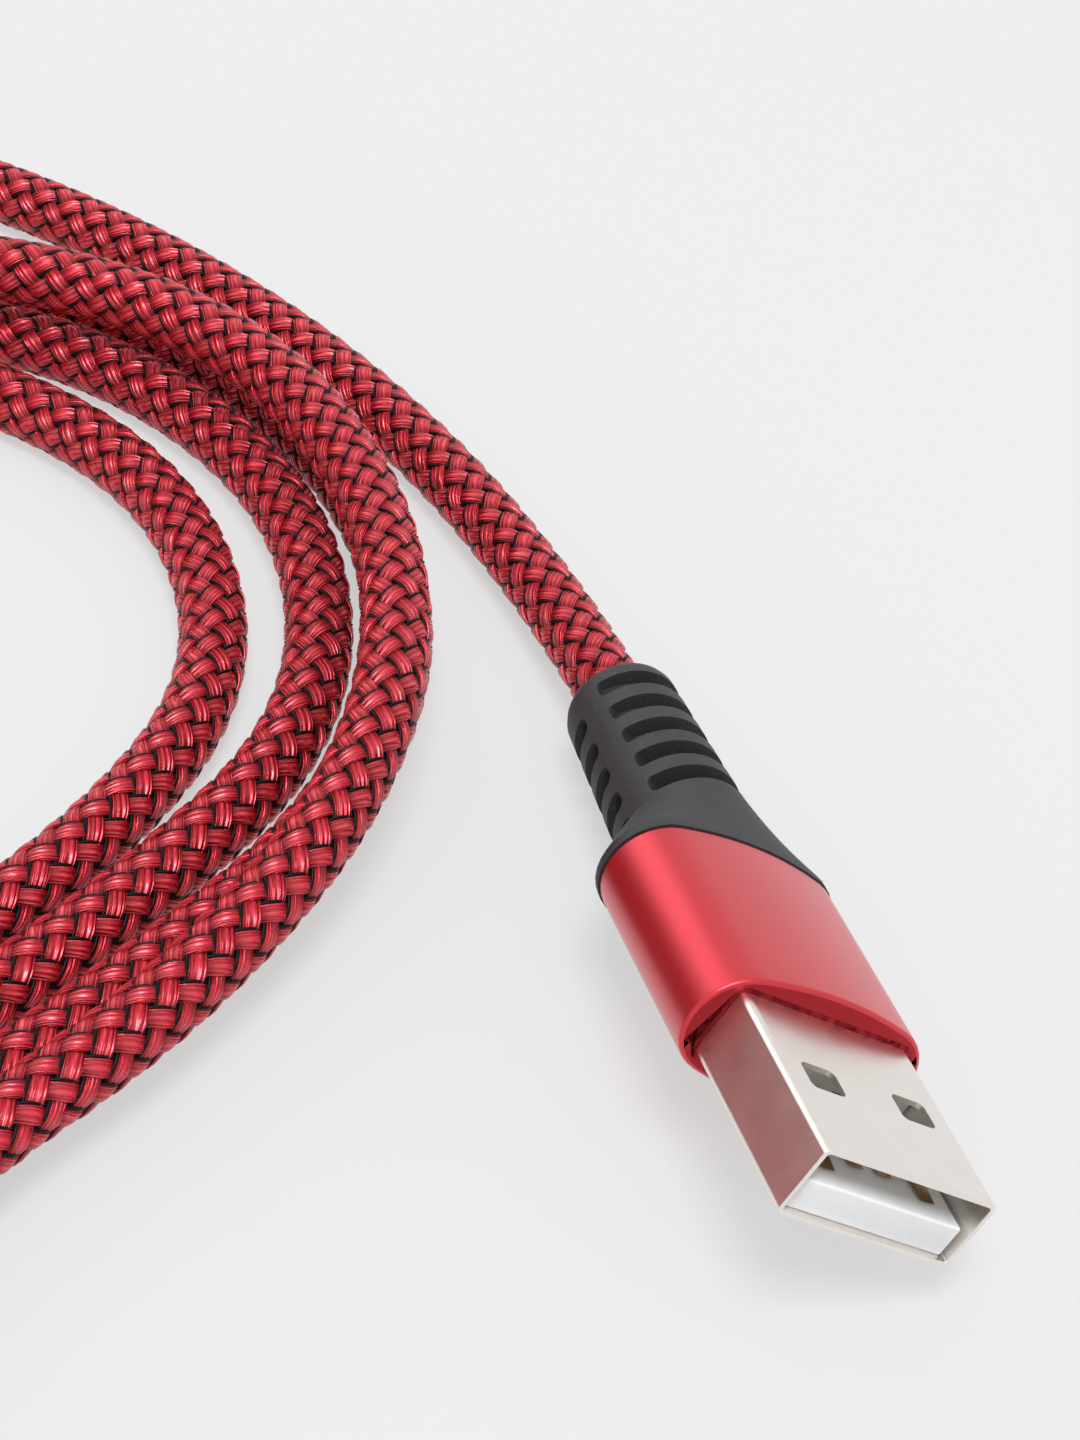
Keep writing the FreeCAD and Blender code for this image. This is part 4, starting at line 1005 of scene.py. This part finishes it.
def weave_mesh(name, cord, stretch, profile, one_hand):
    """Strands that wind both ways round the cord, each a strip that weaves over and under.

    The stretch is a length of the even line. With one_hand, what lies beside a strand is on
    the same side of the strands of both ways.
    """
    line, where, sides, others = stretch
    strands = [(way, number) for way in (1, -1) for number in range(cord.carriers)]
    shape = (len(strands), len(profile), len(line))
    mesh = flat_strips(name, len(strands), len(line), len(profile))
    pitch = cord.chevron_pitch
    lay = pitch * cord.carriers
    middle = cord.diameter / 2 - cord.ribbon_thick - cord.weave_rise
    slope = 2 * math.pi * middle / lay
    slant = math.sqrt(1 + slope * slope)
    beat = 2 * math.pi * where / pitch
    forward = np.gradient(line, where, axis=0)
    places = np.zeros((*shape, 3))
    yarn = np.zeros(shape)
    lift = np.zeros(shape)
    glow = np.zeros(shape)
    for index, (way, number) in enumerate(strands):
        turn = 2 * math.pi * number / cord.carriers + way * 2 * math.pi * where / lay
        rise = cord.weave_rise * way * np.cos(beat)
        for row, (aside, up) in enumerate(profile):
            if one_hand:
                aside = -aside * way
            angle = (turn - way * aside / (middle * slant))[:, None]
            out = sides * np.cos(angle) + others * np.sin(angle)
            reach = (middle + rise + up)[:, None]
            places[index, row] = line + out * reach + forward * (aside * slope / slant)
        yarn[index] = (number * 2 + (way + 1) // 2) / (2.0 * cord.carriers)
        lift[index] = 0.5 + 0.5 * way * np.cos(beat)
        # How much painted highlight each point gets, a little past the crest of its float.
        glow[index] = 0.5 + 0.5 * way * np.cos(beat + PAINTED_HIGHLIGHT_SHIFT)
    mesh.vertices.foreach_set("co", places.reshape(-1))
    for title, values in (("yarn", yarn), ("lift", lift), ("glow", glow)):
        attribute = mesh.attributes.new(title, "FLOAT", "POINT")
        attribute.data.foreach_set("value", values.reshape(-1))
    stretch_map(mesh, (where[-1] - where[0]) * slant)
    mesh.update()
    return mesh


def ribbon_profile(cord):
    """The section of a flat bundle: a low crown whose edges turn down."""
    half = cord.ribbon_wide / 2
    thick = cord.ribbon_thick
    right = [(half * 0.45, thick * 0.95), (half * 0.9, thick * 0.6), (half, -0.08 * MM)]
    return [(-x, y) for x, y in reversed(right)] + right


def thread_profile(cord):
    """The round back of the black thread that lies beside a bundle."""
    half = cord.thread_wide / 2
    middle = -cord.ribbon_wide / 2 - half
    back = half * 0.7
    return [(middle - half, 0.0), (middle - half * 0.6, back),
            (middle + half * 0.6, back), (middle + half, 0.0)]


def lay_jacket(cord):
    """The black jacket under the braid, which stands for the cord's solids."""
    data = route_curve("cord_jacket", 10)
    data.bevel_depth = cord.core_diameter / 2
    data.bevel_resolution = 4
    data.use_fill_caps = True
    jacket = add_object("cord_jacket", data)
    dress(jacket, "jacket_black")
    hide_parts("cable_tail_a", "cable_coil", "cable_tail_c")
    return jacket


def weave_braid(cord):
    """The red bundles and the black threads, in a few lengths of cord each."""
    even = even_line(route_line(), cord.chevron_pitch / cord.samples)
    last = len(even[0]) - 1
    strands = []
    for material, parts, profile, one_hand in (
        ("braid_red", 4, ribbon_profile(cord), False),
        ("braid_thread", 2, thread_profile(cord), True),
    ):
        for part in range(parts):
            cut = slice(part * last // parts, (part + 1) * last // parts + 1)
            mesh = weave_mesh("%s_%d" % (material, part + 1), cord,
                              [values[cut] for values in even], profile, one_hand)
            strand = add_object(mesh.name, mesh)
            dress(strand, material)
            strands.append(strand)
    long = even[1][-1]
    return strands, long


class CABLE_OT_finishes(bpy.types.Operator):
    """Make every material of the cable."""

    bl_idname = "cable.finishes"
    bl_label = "Finishes"

    def execute(self, context):
        make_finishes(context.scene)
        return {"FINISHED"}


class CABLE_OT_stage(bpy.types.Operator):
    """Lay the pale paper, hang the soft lamps and set the camera."""

    bl_idname = "cable.stage"
    bl_label = "Stage"

    def execute(self, context):
        scene = context.scene
        scene.view_settings.view_transform = "Standard"
        lay_paper(scene)
        light_surround(scene)
        hang_lamps()
        stand_dark_card()
        set_camera(scene)
        return {"FINISHED"}


class CABLE_OT_usb_a(bpy.types.Operator):
    """Build the USB-A plug: relief, housing, shell, tongue and contacts."""

    bl_idname = "cable.usb_a"
    bl_label = "USB-A plug"

    def execute(self, context):
        size = context.scene.cable_usb_a
        make_relief("a", "usb_a_strain_relief")
        make_housing("a", "usb_a_housing")
        aside = 3.2 * MM
        wall = size.shell_tall / 2
        z = tip_of(size) - 6.2 * MM
        make_shell("a", "usb_a_shell",
                   [(x, y, z) for x in (-aside, aside) for y in (-wall, wall)])
        make_a_tongue()
        make_a_contacts()
        return {"FINISHED"}


class CABLE_OT_usb_c(bpy.types.Operator):
    """Build the USB-C plug: relief, housing, shell and core."""

    bl_idname = "cable.usb_c"
    bl_label = "USB-C plug"

    def execute(self, context):
        make_relief("c", "usb_c_strain_relief")
        make_housing("c", "usb_c_housing")
        make_shell("c", "usb_c_shell")
        make_c_insulator()
        return {"FINISHED"}


class CABLE_OT_inner_pieces(bpy.types.Operator):
    """Give the pieces inside both plugs their finishes."""

    bl_idname = "cable.inner_pieces"
    bl_label = "Inner pieces"

    def execute(self, context):
        finish_of = {kind: name for name, kinds in NODES_IN.items() for kind in kinds}
        for name, node in NODES.items():
            material = finish(finish_of.get(name.split("_", 2)[-1], "jacket_black"))
            for slot in node.material_slots:
                slot.material = material
        return {"FINISHED"}


class CABLE_OT_cord(bpy.types.Operator):
    """Lay the braided cord: its black jacket, its red bundles and its black threads."""

    bl_idname = "cable.cord"
    bl_label = "Braided cord"

    def execute(self, context):
        cord = context.scene.cable_cord
        jacket = lay_jacket(cord)
        strands, long = weave_braid(cord)
        plug = [bpy.data.objects[name] for name in (
            "usb_c_relief_skin", "usb_c_housing_skin", "usb_c_shell_skin", "usb_c_core_skin")]
        hidden = ("strain_relief", "housing", "shell", "insulator")
        for name, node in NODES.items():
            if name.startswith("usb_c_") and name.split("_", 2)[-1] not in hidden:
                plug.append(node)
        strands + plug
        return {"FINISHED"}


class CABLE_PT_panel(bpy.types.Panel):
    """The cable's pieces and sizes."""

    bl_idname = "CABLE_PT_panel"
    bl_label = "Charging cable"
    bl_space_type = "VIEW_3D"
    bl_region_type = "UI"
    bl_category = "Cable"

    def draw(self, context):
        layout = self.layout
        for operator in OPERATORS:
            layout.operator(operator.bl_idname)
        for title, label, _ in GROUPS:
            group = getattr(context.scene, title)
            box = layout.box()
            box.label(text=label)
            for name in group.bl_rna.properties.keys():
                if name not in ("rna_type", "name"):
                    box.prop(group, name)


OPERATORS = (
    CABLE_OT_finishes,
    CABLE_OT_stage,
    CABLE_OT_usb_a,
    CABLE_OT_usb_c,
    CABLE_OT_inner_pieces,
    CABLE_OT_cord,
)
GROUPS = (
    ("cable_cord", "Cord", CordSettings),
    ("cable_usb_a", "USB-A", UsbASettings),
    ("cable_usb_c", "USB-C", UsbCSettings),
    ("cable_finish", "Finishes", FinishSettings),
)


def lay_paper(scene):
    """A wide sheet of pale paper that keeps the cable's soft shadow."""
    bm = bmesh.new()
    bmesh.ops.create_grid(bm, x_segments=2, y_segments=2, size=3.0)
    paper = add_object("paper", mesh_of("paper", bm))
    f = Finish("paper")
    tone = tuple(scene.cable_finish.floor)
    path = f.node("LightPath")
    seen = f.signal(path, "Is Camera Ray").math("MAXIMUM", f.signal(path, "Is Glossy Ray"))
    paper.data.materials.append(f.set(
        Base_Color=shade_of(tone, 0.27), Roughness=0.9, Specular_IOR_Level=0.1,
        Emission_Color=f.mix(seen, shade_of(tone, 0.05), shade_of(tone, 0.7)),
        Emission_Strength=1.0,
    ))


def light_surround(scene):
    """An even white surround."""
    world = bpy.data.worlds.new("surround")
    scene.world = world
    world.use_nodes = True
    background = world.node_tree.nodes["Background"]
    background.inputs["Color"].default_value = (1.0, 1.0, 1.0, 1.0)
    background.inputs["Strength"].default_value = 0.82


def hang_lamps():
    """Two wide soft lamps that face the middle: name, place, width in metres, watts."""
    for name, place, wide, power in (
        ("key", (-0.1, -0.5, 1.6), 0.6, 20.0),
        ("left", (-0.35, 1.4, 0.85), 0.9, 2.9),
    ):
        data = bpy.data.lights.new(name, "AREA")
        data.shape = "SQUARE"
        data.size = wide
        data.energy = power
        lamp = add_object(name, data)
        lamp.location = place
        lamp.rotation_euler = (-lamp.location).to_track_quat("-Z", "Y").to_euler()


def stand_dark_card():
    """A low dark red card behind the coil, which only the plug's metal mirrors."""
    bm = bmesh.new()
    bmesh.ops.create_grid(bm, x_segments=1, y_segments=1, size=0.5)
    card = add_object("dark_card", mesh_of("dark_card", bm))
    card.location = (-0.62, 0.4, 0.1)
    card.scale.y = 0.3
    aim = Vector((0.03, -0.02, 0.0)) - card.location
    card.rotation_euler = aim.to_track_quat("Z", "Y").to_euler()
    card.visible_camera = False
    card.visible_diffuse = False
    card.visible_shadow = False
    f = Finish("dark_card")
    card.data.materials.append(f.set(Base_Color=(0.3, 0.05, 0.04), Roughness=0.9))


def set_camera(scene):
    """The photograph's view."""
    data = bpy.data.cameras.new("camera")
    camera = add_object("camera", data)
    data.sensor_fit = "VERTICAL"
    data.sensor_width = 36.0
    data.sensor_height = 36.0
    data.lens = 80.0
    data.clip_start = 0.01
    data.clip_end = 20.0
    up = Vector((math.cos(VIEW_DOWN) * math.sin(VIEW_ROLL),
                 -math.cos(VIEW_DOWN) * math.cos(VIEW_ROLL), -math.sin(VIEW_DOWN)))
    across = (Vector((1.0, 0.0, 0.0)) - up * up.x).normalized()
    ahead = up.cross(across)
    turn = Matrix.Rotation(VIEW_HEADING, 3, "Z") @ Matrix((across, ahead, up))
    flip = Matrix(((1, 0, 0), (0, -1, 0), (0, 0, -1)))
    camera.matrix_world = Matrix.Translation(VIEW_PLACE) @ (turn @ flip).to_4x4()
    scene.camera = camera


def register():
    for _, _, group in GROUPS:
        bpy.utils.register_class(group)
    for operator in OPERATORS:
        bpy.utils.register_class(operator)
    bpy.utils.register_class(CABLE_PT_panel)
    for name, _, group in GROUPS:
        setattr(bpy.types.Scene, name, PointerProperty(type=group))


def unregister():
    for name, _, _ in GROUPS:
        delattr(bpy.types.Scene, name)
    bpy.utils.unregister_class(CABLE_PT_panel)
    for operator in reversed(OPERATORS):
        bpy.utils.unregister_class(operator)
    for _, _, group in reversed(GROUPS):
        bpy.utils.unregister_class(group)


def main():
    register()
    bpy.ops.cable.finishes()
    bpy.ops.cable.stage()
    bpy.ops.cable.usb_a()
    bpy.ops.cable.usb_c()
    bpy.ops.cable.inner_pieces()
    bpy.ops.cable.cord()


if __name__ == "__main__":
    main()
